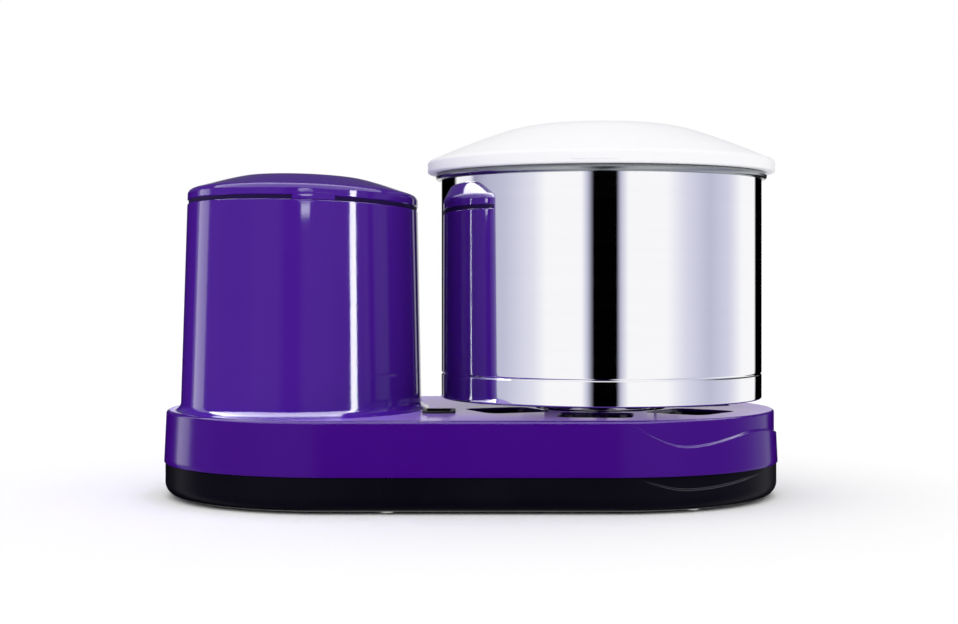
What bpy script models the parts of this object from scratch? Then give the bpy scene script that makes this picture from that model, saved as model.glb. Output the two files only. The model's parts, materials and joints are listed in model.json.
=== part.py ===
"""Table-top wet grinder: a motor tower and a belt-driven steel drum with two roller stones on one base.

The origin is on the table under the middle of the base. +X runs from the tower to the drum, -Y is the
front and +Z is up. Every size is in metres.
"""

import math

import bmesh
import bpy
from mathutils import Matrix, Vector

# Sizes that several pieces share
clearance = 0.0003
overrun = 0.004
merge_distance = 0.00001

# Base: the outline is a stadium, two half circles joined by straight sides. The drum turns over the right.
base_end_radius = 0.138
base_half_straight = 0.102
drum_x = base_half_straight
pan_inset = 0.001
pan_bottom = 0.0015
pan_edge_round = 0.010
pan_wall = 0.0035
pan_floor_thickness = 0.003
seam_height = 0.0265
housing_wall = 0.003
skirt_draft = 0.0017
deck_edge_round = 0.0035
deck_height = 0.067

# Drum, as wide as the base's right end less a margin
drum_margin = 0.0122
drum_radius = base_end_radius - drum_margin

# Tower: an oval between the base's left end and the drum. It narrows upwards and leans towards the drum.
tower_front_margin = 0.020
tower_end_margin = 0.013
tower_drum_gap = 0.0152
tower_rise = 0.156
tower_draft = 0.004
tower_lean = 0.001
tower_foot_round = 0.006
tower_left = -(base_half_straight + base_end_radius - tower_end_margin)
tower_right = drum_x - drum_radius - tower_drum_gap
tower_x = (tower_left + tower_right) / 2
tower_half_width = (tower_right - tower_left) / 2
tower_half_depth = base_end_radius - tower_front_margin
tower_stretch = tower_half_depth / tower_half_width
tower_top = deck_height + tower_rise

# Cap of the tower: its seam falls towards the drum and rises a little towards the front
seam_fall = math.radians(1.3)
seam_front_rise = math.radians(1.5)
cap_gap = 0.0033
cap_band_height = 0.0055
cap_rise = 0.0245
cap_wall = 0.0025
cap_spigot_depth = 0.009
cap_tab_width = 0.0305
cap_tab_offset = 0.018

# Walls of the drum, and the lid
drum_wall = 0.0012
drum_gap = 0.007
drum_height = 0.1765
drum_corner_round = 0.004
drum_bead_radius = 0.0026
drum_groove_rise = 0.021
drum_groove_depth = 0.0006
drum_groove_half_width = 0.0013
drum_bottom = deck_height + drum_gap
drum_top = drum_bottom + drum_height
drum_groove_height = drum_bottom + drum_groove_rise
lid_overhang = 0.0102
lid_wall = 0.0025
lid_flange_height = 0.0105
lid_rise = 0.0395
lid_radius = drum_radius + lid_overhang
lid_top = drum_top + lid_rise
lid_lip_depth = 0.008
lid_lip_gap = 0.001
lid_tab_width = 0.034
lid_tab_proud = 0.001
lid_tab_turn = math.radians(-5.5)

# Stones
stone_rise = 0.028
roller_radius = 0.039
roller_inner_end = 0.036
roller_end_room = 0.0226
roller_edge_round = 0.004
roller_bore = 0.009

# Chassis, spindle and belt drive
chassis_bottom = 0.010
chassis_thickness = 0.002
chassis_margin = 0.025
spindle_radius = 0.010
belt_height = 0.032
belt_width = 0.010
belt_thickness = 0.0025
drum_pulley_margin = 0.043
motor_pulley_radius = 0.010
motor_radius = 0.060
shaft_radius = 0.006

# Sides of the turned shapes
large_steps = 32
medium_steps = 20
small_steps = 16
fine_steps = 12
screw_steps = 8
nut_sides = 6

chassis_top = chassis_bottom + chassis_thickness
chassis_end_radius = base_end_radius - chassis_margin
drum_pulley_radius = base_end_radius - drum_pulley_margin
pan_floor_top = pan_bottom + pan_floor_thickness
pan_radius = base_end_radius - pan_inset
drum_inner_radius = drum_radius - drum_wall
stone_top = drum_bottom + stone_rise
axle_height = stone_top + clearance + roller_radius
roller_outer_end = drum_inner_radius - roller_end_room

colours = {
    "purple_gloss": ((0.075, 0.016, 0.300), 0.18, 0.0),
    "black_gloss": ((0.006, 0.005, 0.009), 0.28, 0.0),
    "white_plastic": ((0.86, 0.86, 0.88), 0.30, 0.0),
    "mirror_steel": ((0.80, 0.80, 0.84), 0.06, 1.0),
    "plain_steel": ((0.45, 0.46, 0.48), 0.38, 1.0),
    "zinc_steel": ((0.55, 0.56, 0.52), 0.35, 1.0),
    "cast_aluminium": ((0.60, 0.61, 0.62), 0.45, 1.0),
    "granite": ((0.16, 0.155, 0.15), 0.75, 0.0),
    "white_nylon": ((0.72, 0.71, 0.66), 0.45, 0.0),
    "black_rubber": ((0.018, 0.018, 0.018), 0.80, 0.0),
    "laminated_iron": ((0.18, 0.18, 0.19), 0.50, 1.0),
    "copper_winding": ((0.45, 0.16, 0.07), 0.40, 1.0),
    "grey_plastic": ((0.20, 0.20, 0.21), 0.50, 0.0),
}


def clear_scene():
    for thing in list(bpy.data.objects):
        bpy.data.objects.remove(thing, do_unlink=True)


def new_group(name):
    group = bpy.data.collections.new(name)
    bpy.context.scene.collection.children.link(group)
    return group


def new_material(name):
    colour, roughness, metallic = colours[name]
    made = bpy.data.materials.new(name)
    made.use_nodes = True
    shader = made.node_tree.nodes["Principled BSDF"]
    shader.inputs["Base Color"].default_value = (*colour, 1.0)
    shader.inputs["Roughness"].default_value = roughness
    shader.inputs["Metallic"].default_value = metallic
    return made


clear_scene()
grinder = new_group("wet_grinder")
cutters = new_group("cutters")
materials = {}


def add_object(name, data, finish=None, parent=None, place=(0, 0, 0), turn=(0, 0, 0)):
    """A part where a finish is given, and otherwise a cutter or an added form."""
    made = bpy.data.objects.new(name, data)
    made.location = place
    made.rotation_euler = turn
    made.parent = parent
    if finish is None:
        cutters.objects.link(made)
        made.hide_render = True
        made.display_type = "WIRE"
        return made
    if finish not in materials:
        materials[finish] = new_material(finish)
    data.materials.append(materials[finish])
    grinder.objects.link(made)
    return made


def axis_empty(name, place, turn=(0, 0, 0)):
    made = bpy.data.objects.new(name, None)
    made.location = place
    made.rotation_euler = turn
    grinder.objects.link(made)
    return made


def mesh_from(bm, name):
    bmesh.ops.recalc_face_normals(bm, faces=bm.faces)
    data = bpy.data.meshes.new(name)
    bm.to_mesh(data)
    bm.free()
    return data


def turned(
    name, profile, finish=None, parent=None, place=(0, 0, 0), turn=(0, 0, 0), steps=large_steps, ring=False
):
    """A profile of (radius, height) points carried round Z. A ring's profile closes on itself."""
    data = bpy.data.meshes.new(name)
    count = len(profile)
    edges = [(i, i + 1) for i in range(count - 1)]
    if ring:
        edges.append((count - 1, 0))
    data.from_pydata([(radius, 0, height) for radius, height in profile], edges, [])
    made = add_object(name, data, finish, parent, place, turn)
    screw = made.modifiers.new("turn", "SCREW")
    screw.axis = "Z"
    screw.steps = steps
    screw.render_steps = steps
    screw.use_merge_vertices = True
    screw.merge_threshold = merge_distance
    return made


def ring_profile(inner, outer, bottom, top):
    return [(outer, top), (outer, bottom), (inner, bottom), (inner, top)]


def rod_profile(radius, bottom, top):
    return [(0, top), (radius, top), (radius, bottom), (0, bottom)]


def arc(centre_radius, centre_height, radius, start, end, steps):
    """Points of a circular arc in a profile, with angles in degrees from the outward direction."""
    angles = [math.radians(start + (end - start) * i / steps) for i in range(steps + 1)]
    return [(centre_radius + radius * math.cos(a), centre_height + radius * math.sin(a)) for a in angles]


def boxes(name, blocks, finish=None, parent=None, place=(0, 0, 0), turn=(0, 0, 0)):
    """Separate boxes in one mesh. Each block is its size, its centre and its turn about Z."""
    bm = bmesh.new()
    for size, centre, about_z in blocks:
        matrix = Matrix.Rotation(about_z, 4, "Z") @ Matrix.Translation(centre) @ Matrix.Diagonal((*size, 1))
        bmesh.ops.create_cube(bm, size=1, matrix=matrix)
    return add_object(name, mesh_from(bm, name), finish, parent, place, turn)


def rods(name, list_of_rods, sides=screw_steps, finish=None, parent=None, place=(0, 0, 0), turn=(0, 0, 0)):
    """Separate upright cylinders in one mesh. Each is its radius, bottom, top and (x, y) centre."""
    bm = bmesh.new()
    for radius, bottom, top, (x, y) in list_of_rods:
        bmesh.ops.create_cone(
            bm,
            cap_ends=True,
            segments=sides,
            radius1=radius,
            radius2=radius,
            depth=top - bottom,
            matrix=Matrix.Translation((x, y, (top + bottom) / 2)),
        )
    return add_object(name, mesh_from(bm, name), finish, parent, place, turn)


def plate(name, outlines, bottom, top, finish=None, parent=None, place=(0, 0, 0), turn=(0, 0, 0)):
    """A flat outline, with any further outlines as holes in it, given its thickness."""
    curve = bpy.data.curves.new(name, "CURVE")
    curve.dimensions = "2D"
    curve.fill_mode = "BOTH"
    curve.extrude = (top - bottom) / 2
    for outline in outlines:
        spline = curve.splines.new("POLY")
        spline.points.add(len(outline) - 1)
        for point, (x, y) in zip(spline.points, outline):
            point.co = (x, y, 0, 1)
        spline.use_cyclic_u = True
    data = mesh_of_curve(curve, name)
    data.transform(Matrix.Translation((0, 0, (top + bottom) / 2)))
    return add_object(name, data, finish, parent, place, turn)


def mesh_of_curve(curve, name):
    """The curve's mesh, with its caps welded to its sides."""
    holder = bpy.data.objects.new(name + "_curve", curve)
    cutters.objects.link(holder)
    graph = bpy.context.evaluated_depsgraph_get()
    data = bpy.data.meshes.new_from_object(holder.evaluated_get(graph))
    bpy.data.objects.remove(holder, do_unlink=True)
    bm = bmesh.new()
    bm.from_mesh(data)
    bmesh.ops.remove_doubles(bm, verts=bm.verts, dist=merge_distance)
    bmesh.ops.recalc_face_normals(bm, faces=bm.faces)
    bm.to_mesh(data)
    bm.free()
    return data


def lofted(name, sections, closed, finish=None, parent=None):
    """Faces between sections of equal point counts. Closed sections meet the first, and others are capped."""
    bm = bmesh.new()
    rows = [[bm.verts.new(point) for point in section] for section in sections]
    count = len(rows[0])
    pairs = list(zip(rows, rows[1:]))
    if closed:
        pairs.append((rows[-1], rows[0]))
    for first, second in pairs:
        for i in range(count):
            j = (i + 1) % count
            bm.faces.new((first[i], first[j], second[j], second[i]))
    if not closed:
        bm.faces.new(rows[0])
        bm.faces.new(rows[-1])
    return add_object(name, mesh_from(bm, name), finish, parent)


def stadium(end_radius, half_straight, steps):
    """A stadium outline. steps is the count of sides on each half circle."""
    points = []
    for centre_x, start in ((half_straight, -90), (-half_straight, 90)):
        for i in range(steps + 1):
            angle = math.radians(start + 180 * i / steps)
            points.append((centre_x + end_radius * math.cos(angle), end_radius * math.sin(angle)))
    return points


def stadium_stack(name, rows, finish=None, steps=small_steps):
    """A solid through level stadium outlines, each row being its end radius and height."""
    sections = [
        [(x, y, height) for x, y in stadium(radius, base_half_straight, steps)] for radius, height in rows
    ]
    return lofted(name, sections, closed=False, finish=finish)


def circle_points(radius, steps, centre=(0, 0)):
    angles = [2 * math.pi * i / steps for i in range(steps)]
    return [(centre[0] + radius * math.cos(a), centre[1] + radius * math.sin(a)) for a in angles]


def boolean(target, other, operation):
    """One cut or union, with the points that it leaves almost on each other made one."""
    change = target.modifiers.new(other.name, "BOOLEAN")
    change.operation = operation
    change.solver = "EXACT"
    change.object = other
    weld = target.modifiers.new("weld_" + other.name, "WELD")
    weld.merge_threshold = merge_distance


def cut(target, *others):
    for other in others:
        boolean(target, other, "DIFFERENCE")


def join(target, *others):
    for other in others:
        boolean(target, other, "UNION")


# Axes that pieces turn about, and the middle of the tower's seam, whose Z is square to it
drum_axis = axis_empty("drum_axis", (drum_x, 0, 0))
motor_axis = axis_empty("motor_axis", (tower_x, 0, 0))
seam_axis = axis_empty("seam_axis", (tower_x + tower_lean, 0, tower_top), (-seam_front_rise, seam_fall, 0))

# Screws that hold the pan to the housing, and their bosses
pan_screw_margin = 0.018
pan_screw_left_x = -0.060
pan_screw_right_turn = math.radians(60)
pan_screw_radius = 0.0022
pan_screw_head_radius = 0.0045
pan_screw_head_height = 0.002
pan_screw_length = 0.016
pan_screw_boss_radius = 0.0055

# Bolts that hold the chassis to the pan
chassis_bolt_radius = 0.0024
chassis_bolt_head_radius = 0.0048
chassis_bolt_head_height = 0.0035
chassis_boss_radius = 0.007
bracket_bolt_reach = 0.009
bracket_bolt_circle = motor_radius + bracket_bolt_reach
chassis_bolt_margin = 0.0145
chassis_bolt_turn = math.radians(34.6)
bolt_hole_gap = 0.0005

# Feet
foot_radius = 0.011
foot_recess_depth = 0.0015
foot_end_offset = 0.033
foot_side_margin = 0.053
foot_x = base_half_straight + foot_end_offset
foot_y = base_end_radius - foot_side_margin
foot_places = {
    "foot_front_left": (-foot_x, -foot_y),
    "foot_front_right": (foot_x, -foot_y),
    "foot_back_left": (-foot_x, foot_y),
    "foot_back_right": (foot_x, foot_y),
}

# Cord gland in the back wall of the pan
gland_x = -0.040
gland_height = 0.0185
gland_radius = 0.0055
gland_flange_radius = 0.0072
gland_flange_thickness = 0.0007
gland_bore = 0.0036
gland_inner_length = 0.008

# Crescent hand grip of the pan and wave step of the housing, by angle from the front round the right end
grip_start = math.radians(7)
grip_end = math.radians(62)
grip_lowest = math.radians(24)
grip_drop = 0.0105
grip_depth = 0.0018
wave_start = math.radians(4)
wave_trough = math.radians(24)
wave_crest = math.radians(54)
wave_trough_height = 0.0465
wave_crest_height = 0.0545
wave_end_height = 0.0480
wave_depth = 0.0018
wave_sections = 12


def bracket_bolts():
    """The two left bolts pass through the motor bracket's flange."""
    reach = bracket_bolt_circle * math.cos(math.radians(45))
    return [(tower_x - reach, -reach), (tower_x - reach, reach)]


def chassis_bolt_places():
    reach = chassis_end_radius - chassis_bolt_margin
    x = drum_x + reach * math.cos(chassis_bolt_turn)
    y = reach * math.sin(chassis_bolt_turn)
    return bracket_bolts() + [(x, -y), (x, y)]


def pan_screw_places():
    """Two on the straight sides, and two round the right end, all as far in from the outline."""
    reach = base_end_radius - pan_screw_margin
    x = drum_x + reach * math.cos(pan_screw_right_turn)
    y = reach * math.sin(pan_screw_right_turn)
    return [(pan_screw_left_x, -reach), (pan_screw_left_x, reach), (x, -y), (x, y)]


def end_point(radius, angle, height):
    """A point of the right end, the angle running from the front round to the back."""
    return (base_half_straight + radius * math.sin(angle), -radius * math.cos(angle), height)


def smooth_between(start, end, share):
    share = min(max(share, 0.0), 1.0)
    return start + (end - start) * share * share * (3 - 2 * share)


def end_band(name, angles, low, depth, surface_radius, top):
    """A band outside the right end's wall. It bites in by depth(angle) above the height low(angle)."""
    sections = []
    for angle in angles:
        inner = surface_radius - depth(angle)
        outer = surface_radius + overrun
        bottom = low(angle)
        sections.append(
            [
                end_point(inner, angle, bottom),
                end_point(outer, angle, bottom),
                end_point(outer, angle, top),
                end_point(inner, angle, top),
            ]
        )
    return lofted(name, sections, closed=False)


def grip_cutter(side):
    """The crescent: deepest and lowest a third of the way round, running out to nothing at both tips."""

    def share(angle):
        if angle < grip_lowest:
            return (angle - grip_start) / (grip_lowest - grip_start)
        return (grip_end - angle) / (grip_end - grip_lowest)

    def low(angle):
        return seam_height - grip_drop * math.sin(share(angle) * math.pi / 2)

    def depth(angle):
        return smooth_between(0, grip_depth, 2 * share(angle))

    steps = [grip_start + (grip_end - grip_start) * i / wave_sections for i in range(wave_sections + 1)]
    made = end_band("grip_" + side, steps[1:-1], low, depth, pan_radius, seam_height + overrun)
    if side == "back":
        made.scale = (1, -1, 1)
    return made


def wave_cutter():
    """The wall above the wave is set in. The wave falls from the deck's edge, rises and falls again."""

    def half_low(angle):
        if angle < wave_trough:
            share = (angle - wave_start) / (wave_trough - wave_start)
            return deck_height + (wave_trough_height - deck_height) * math.sin(share * math.pi / 2)
        if angle < wave_crest:
            share = (angle - wave_trough) / (wave_crest - wave_trough)
            return smooth_between(wave_trough_height, wave_crest_height, share)
        share = (angle - wave_crest) / (math.pi / 2 - wave_crest)
        return smooth_between(wave_crest_height, wave_end_height, share)

    def low(angle):
        return half_low(min(angle, math.pi - angle))

    def depth(angle):
        angle = min(angle, math.pi - angle)
        draft = skirt_draft * (low(angle) - seam_height) / (deck_height - seam_height)
        return draft + smooth_between(0, wave_depth, (angle - wave_start) / (wave_trough - wave_start))

    span = math.pi - 2 * wave_start
    count = 2 * wave_sections
    angles = [wave_start + span * i / count for i in range(1, count)]
    return end_band("wave", angles, low, depth, base_end_radius, deck_height + overrun)


def make_base_pan():
    corner = arc(pan_radius - pan_edge_round, pan_bottom + pan_edge_round, pan_edge_round, -90, 0, 3)
    rows = corner + [(pan_radius, seam_height)]
    inner_radius = pan_radius - pan_wall
    inner_round = pan_edge_round - pan_floor_thickness
    inner_corner = arc(inner_radius - inner_round, pan_floor_top + inner_round, inner_round, -90, 0, 2)
    pan = stadium_stack("base_pan", rows, "black_gloss")
    cut(pan, stadium_stack("pan_inside", inner_corner + [(inner_radius, seam_height + overrun)]))
    boss_top = chassis_bottom - clearance
    sunk = pan_floor_top - clearance
    join(pan, rods("pan_bosses", [(chassis_boss_radius, sunk, boss_top, p) for p in chassis_bolt_places()]))
    hole = chassis_bolt_radius + clearance
    holes = [(hole, pan_floor_top, boss_top + overrun, p) for p in chassis_bolt_places()]
    cut(pan, rods("pan_bolt_holes", holes))
    recess_top = pan_bottom + foot_recess_depth
    recess_radius = foot_radius + clearance
    recesses = [(recess_radius, pan_bottom - overrun, recess_top, p) for p in foot_places.values()]
    cut(pan, rods("foot_recesses", recesses, sides=fine_steps))
    screw_hole = pan_screw_radius + bolt_hole_gap
    holes = [(screw_hole, pan_bottom - overrun, pan_floor_top + overrun, p) for p in pan_screw_places()]
    cut(pan, rods("pan_screw_holes", holes))
    cut(pan, pan_vents())
    gland_place = (gland_x, pan_radius, gland_height)
    gland_hole = rod_profile(gland_radius + clearance, -overrun - pan_wall, overrun)
    cut(pan, turned("gland_hole", gland_hole, place=gland_place, turn=(-math.pi / 2, 0, 0), steps=fine_steps))
    cut(pan, grip_cutter("front"), grip_cutter("back"))


# Vent slots in the pan's floor under the motor
vent_count = 7
vent_width = 0.004
vent_pitch = 0.010
vent_length_share = 0.8
vent_field_radius = 0.045


def pan_vents():
    blocks = []
    for i in range(vent_count):
        offset = (i - (vent_count - 1) / 2) * vent_pitch
        length = 2 * math.sqrt(vent_field_radius**2 - offset**2) * vent_length_share
        blocks.append(((vent_width, length, 2 * pan_floor_top), (tower_x + offset, 0, pan_floor_top / 2), 0))
    return boxes("pan_vents", blocks)


def make_feet():
    height = pan_bottom + foot_recess_depth - clearance
    edge = height / 3
    profile = [(0, height), (foot_radius, height), (foot_radius, edge), (foot_radius - edge, 0), (0, 0)]
    for name, (x, y) in foot_places.items():
        turned(name, profile, "black_rubber", place=(x, y, 0), steps=fine_steps)


def make_pan_screws():
    """Each screw's head lies under the pan's floor and its shank runs up into the housing's boss."""
    head_top = pan_bottom - clearance
    head_bottom = head_top - pan_screw_head_height / 2
    tip = head_top + pan_screw_length
    profile = [
        (0, tip),
        (pan_screw_radius, tip),
        (pan_screw_radius, head_top),
        (pan_screw_head_radius, head_top),
        (pan_screw_head_radius, head_bottom),
        (0, head_bottom),
    ]
    for number, (x, y) in enumerate(pan_screw_places(), 1):
        turned("pan_screw_" + str(number), profile, "zinc_steel", place=(x, y, 0), steps=screw_steps)


def make_cord_gland():
    outer_face = gland_flange_thickness + clearance
    inner_end = -pan_wall - gland_inner_length
    snap = gland_radius + clearance
    profile = [
        (gland_flange_radius, outer_face),
        (gland_flange_radius, clearance),
        (gland_radius, clearance),
        (gland_radius, inner_end),
        (gland_bore, inner_end),
        (gland_bore, outer_face),
    ]
    place = (gland_x, pan_radius, gland_height)
    outwards = (-math.pi / 2, 0, 0)
    gland = turned(
        "cord_gland", profile, "black_rubber", place=place, turn=outwards, ring=True, steps=fine_steps
    )
    collar = ring_profile(gland_bore + clearance, snap + pan_wall / 3, -2 * pan_wall, -pan_wall - clearance)
    join(gland, turned("gland_collar", collar, place=place, turn=outwards, ring=True, steps=fine_steps))


# Well in the deck under the drum, with finger pockets round it
well_radius = 0.050
well_depth = 0.012
well_hole_radius = 0.034
well_collar_height = 0.004
pocket_count = 6
pocket_width = 0.054
pocket_margin = 0.032
pocket_inner_reach = 0.046
pocket_depth = 0.007
pocket_corner = 0.010
pocket_turn = math.radians(-96.5)
pocket_reach = base_end_radius - pocket_margin
well_floor = deck_height - well_depth


def rounded_rectangle(x_low, x_high, y_low, y_high, corner, steps=2):
    """Its four corners are quarter circles."""
    points = []
    centres = ((x_high, y_high, 0), (x_low, y_high, 90), (x_low, y_low, 180), (x_high, y_low, 270))
    for x, y, start in centres:
        centre_x = x - math.copysign(corner, x - (x_low + x_high) / 2)
        centre_y = y - math.copysign(corner, y - (y_low + y_high) / 2)
        for i in range(steps + 1):
            angle = math.radians(start + 90 * i / steps)
            points.append((centre_x + corner * math.cos(angle), centre_y + corner * math.sin(angle)))
    return points


def pocket(number, grow, bottom, top):
    half = pocket_width / 2 + grow
    outline = rounded_rectangle(pocket_inner_reach, pocket_reach + grow, -half, half, pocket_corner + grow)
    angle = pocket_turn + 2 * math.pi * number / pocket_count
    kind = "pocket_wall_" if grow else "pocket_"
    return plate(kind + str(number), [outline], bottom, top, place=(drum_x, 0, 0), turn=(0, 0, angle))


# Switch, set in the deck between tower and drum
switch_tower_gap = 0.015
switch_y = -0.052
switch_place = (tower_right + switch_tower_gap, switch_y)
switch_flange = (0.0250, 0.0310)
switch_body = (0.0214, 0.0274)
switch_opening = (0.0184, 0.0244)
switch_flange_height = 0.0015
switch_body_depth = 0.019
switch_floor = 0.002
rocker_tilt = math.radians(6)
rocker_end_rise = 0.0009
rocker_middle_rise = 0.0002
rocker_depth = 0.005
rocker_keel_share = 0.8


def make_housing():
    """Skirt, deck and tower in one moulding: an outer form less an inner one, with the well set in."""
    top_radius = base_end_radius - skirt_draft
    edge = arc(top_radius - deck_edge_round, deck_height - deck_edge_round, deck_edge_round, 0, 90, 3)
    bottom = seam_height + clearance
    housing = stadium_stack("housing", [(base_end_radius, bottom)] + edge, "purple_gloss")
    cut(housing, wave_cutter())
    over_seam = tower_top + 2 * overrun
    join(housing, tower_form("tower_outside", 0, over_seam, deck_height - housing_wall))
    under_deck = deck_height - housing_wall
    inner = base_end_radius - housing_wall
    inner_top = top_radius - housing_wall
    cut(housing, stadium_stack("housing_inside", [(inner, bottom - overrun), (inner_top, under_deck)]))
    cut(housing, tower_form("tower_inside", housing_wall, over_seam + overrun, under_deck - overrun))
    length = 2 * tower_half_depth + tower_foot_round
    above = [((length, length, length), (0, 0, length / 2), 0)]
    cut(housing, boxes("tower_above_seam", above, parent=seam_axis))
    add_well(housing)
    add_screw_bosses(housing)
    cutter_size = (switch_body[0] + 2 * clearance, switch_body[1] + 2 * clearance, 2 * housing_wall + overrun)
    centre = (*switch_place, deck_height - housing_wall / 2)
    cut(housing, boxes("switch_hole", [(cutter_size, centre, 0)]))


def tower_climb(height):
    """How far up the tower a height is, from 0 at the deck to 1 at the seam under the cap."""
    return (height - deck_height) / (tower_top - deck_height)


def tower_radius_at(height):
    return tower_half_width - tower_draft * tower_climb(height)


def tower_form(name, wall, top, bottom):
    """The tower's outer form, or the space inside it where a wall is given, through level ovals."""
    rows = [(tower_radius_at(bottom) - wall, bottom), (tower_radius_at(top) - wall, top)]
    if not wall:
        foot_top = deck_height + tower_foot_round
        centre = tower_radius_at(foot_top) + tower_foot_round
        foot = arc(centre, foot_top, tower_foot_round, 270, 180, 4)
        rows = [(centre, bottom)] + foot + rows[1:]
    sections = []
    for radius, height in rows:
        middle = tower_x + tower_lean * tower_climb(height)
        outline = circle_points(radius, large_steps)
        sections.append([(middle + x, y * tower_stretch, height) for x, y in outline])
    return lofted(name, sections, closed=False)


def add_well(housing):
    cup_top = deck_height - clearance
    cup_bottom = well_floor - housing_wall
    centre = (drum_x, 0, 0)
    cup = rod_profile(well_radius + housing_wall, cup_bottom, cup_top)
    join(housing, turned("well_cup", cup, place=centre))
    pocket_floor = deck_height - pocket_depth
    for number in range(pocket_count):
        join(housing, pocket(number, housing_wall, pocket_floor - housing_wall, cup_top))
    space = rod_profile(well_radius, well_floor, deck_height + overrun)
    cut(housing, turned("well_space", space, place=centre))
    for number in range(pocket_count):
        cut(housing, pocket(number, 0, pocket_floor, deck_height + overrun))
    collar_radius = well_hole_radius + housing_wall
    collar_top = well_floor + well_collar_height
    collar_bottom = well_floor - housing_wall / 2
    collar = ring_profile(well_hole_radius - clearance, collar_radius, collar_bottom, collar_top)
    join(housing, turned("well_collar", collar, place=centre, ring=True, steps=medium_steps))
    hole = rod_profile(well_hole_radius, cup_bottom - overrun, collar_top + overrun)
    cut(housing, turned("well_hole", hole, place=centre, steps=medium_steps))


def add_screw_bosses(housing):
    """Tubes from the deck down to the pan's floor, each with a blind hole for its screw."""
    low = pan_floor_top + clearance
    high = deck_height - housing_wall / 2
    join(housing, rods("screw_bosses", [(pan_screw_boss_radius, low, high, p) for p in pan_screw_places()]))
    hole_top = pan_bottom + pan_screw_length + overrun
    hole = pan_screw_radius + clearance
    holes = [(hole, low - overrun, hole_top, p) for p in pan_screw_places()]
    cut(housing, rods("screw_boss_holes", holes))


# Shape of the cap over the tower, as shares of its half width and of its rise
cap_shoulder_shares = [(1.0, 0.0), (0.985, 0.14), (0.955, 0.24), (0.60, 0.86), (0.46, 0.95), (0.24, 0.99)]


def cap_points(edge_radius, band_top, top):
    rise = top - band_top
    return [(edge_radius * out, band_top + rise * up) for out, up in cap_shoulder_shares]


def make_tower_cap():
    """Its heights are measured from the seam's middle, square to the seam."""
    edge_radius = tower_radius_at(tower_top)
    band_top = cap_gap + cap_band_height
    spigot_outer = edge_radius - housing_wall - 3 * clearance
    spigot_inner = spigot_outer - cap_wall
    outside = [(0, cap_rise)] + cap_points(edge_radius, band_top, cap_rise)[::-1]
    inside = cap_points(spigot_inner, band_top - cap_wall, cap_rise - cap_wall)
    profile = outside + [(edge_radius, cap_gap), (spigot_outer, cap_gap), (spigot_outer, -cap_spigot_depth)]
    profile += [(spigot_inner, -cap_spigot_depth)] + inside + [(0, cap_rise - cap_wall)]
    cap = turned("tower_cap", profile, "purple_gloss", parent=seam_axis)
    cap.scale = (1, tower_stretch, 1)
    tab_inner = spigot_outer - cap_wall / 2
    band = ring_profile(tab_inner, edge_radius, clearance, cap_gap + cap_wall)
    ring = turned("cap_tab", band, parent=seam_axis, ring=True)
    ring.scale = (1, tower_stretch, 1)
    length = 2 * tower_half_depth
    block = ((cap_tab_width, length, length), (cap_tab_offset, -length / 2, 0), 0)
    boolean(ring, boxes("cap_tab_limit", [block], parent=seam_axis), "INTERSECT")
    join(cap, ring)


def make_switch():
    x, y = switch_place
    flange_top = deck_height + clearance + switch_flange_height
    body_bottom = deck_height - switch_body_depth
    flange_size = (*switch_flange, switch_flange_height)
    flange_centre = (x, y, flange_top - switch_flange_height / 2)
    bezel = boxes("switch_bezel", [(flange_size, flange_centre, 0)], "black_gloss")
    round_edges(bezel, switch_flange_height / 3)
    body_top = flange_top - switch_flange_height / 2
    body_size = (*switch_body, body_top - body_bottom)
    join(bezel, boxes("switch_body", [(body_size, (x, y, (body_top + body_bottom) / 2), 0)]))
    space_low = body_bottom + switch_floor
    space_high = flange_top + overrun
    space_size = (*switch_opening, space_high - space_low)
    cut(bezel, boxes("switch_space", [(space_size, (x, y, (space_low + space_high) / 2), 0)]))
    blade = (switch_body[0] / 4, switch_floor / 2, switch_body_depth / 3)
    blade_height = body_bottom - blade[2] / 2 + switch_floor / 2
    spread = switch_body[1] / 4
    blades = [(blade, (x, y + side * spread, blade_height), 0) for side in (-1, 1)]
    join(bezel, boxes("switch_blades", blades))
    make_rocker(flange_top)


def make_rocker(pivot_height):
    """The rocker's side outline, carried along X. Its origin is its pivot, and it rests in the off tilt."""
    half = switch_opening[1] / 2 - 3 * clearance
    keel = half * rocker_keel_share
    outline = [
        (-half, rocker_end_rise),
        (0, rocker_middle_rise),
        (half, rocker_end_rise),
        (keel, -rocker_depth),
        (-keel, -rocker_depth),
    ]
    thickness = switch_opening[0] - 2 * clearance
    place = (*switch_place, pivot_height)
    rocker = plate("switch_rocker", [outline], -thickness / 2, thickness / 2, "black_gloss", place=place)
    rocker.rotation_mode = "QUATERNION"
    lie_along_x = Matrix.Rotation(math.pi / 2, 4, "Z") @ Matrix.Rotation(math.pi / 2, 4, "X")
    rocker.rotation_quaternion = (Matrix.Rotation(-rocker_tilt, 4, "X") @ lie_along_x).to_quaternion()


def round_edges(target, width, segments=2):
    bevel = target.modifiers.new("round", "BEVEL")
    bevel.width = width
    bevel.segments = segments
    bevel.limit_method = "ANGLE"


def make_chassis_plate():
    hole = chassis_bolt_radius + bolt_hole_gap
    outlines = [stadium(chassis_end_radius, base_half_straight, fine_steps)]
    outlines += [circle_points(hole, screw_steps, place) for place in chassis_bolt_places()]
    outlines.append(circle_points(spindle_tail_radius + clearance, fine_steps, (drum_x, 0)))
    outlines.append(circle_points(vent_field_radius, small_steps, (tower_x, 0)))
    plate("chassis_plate", outlines, chassis_bottom, chassis_top, "zinc_steel")


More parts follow.
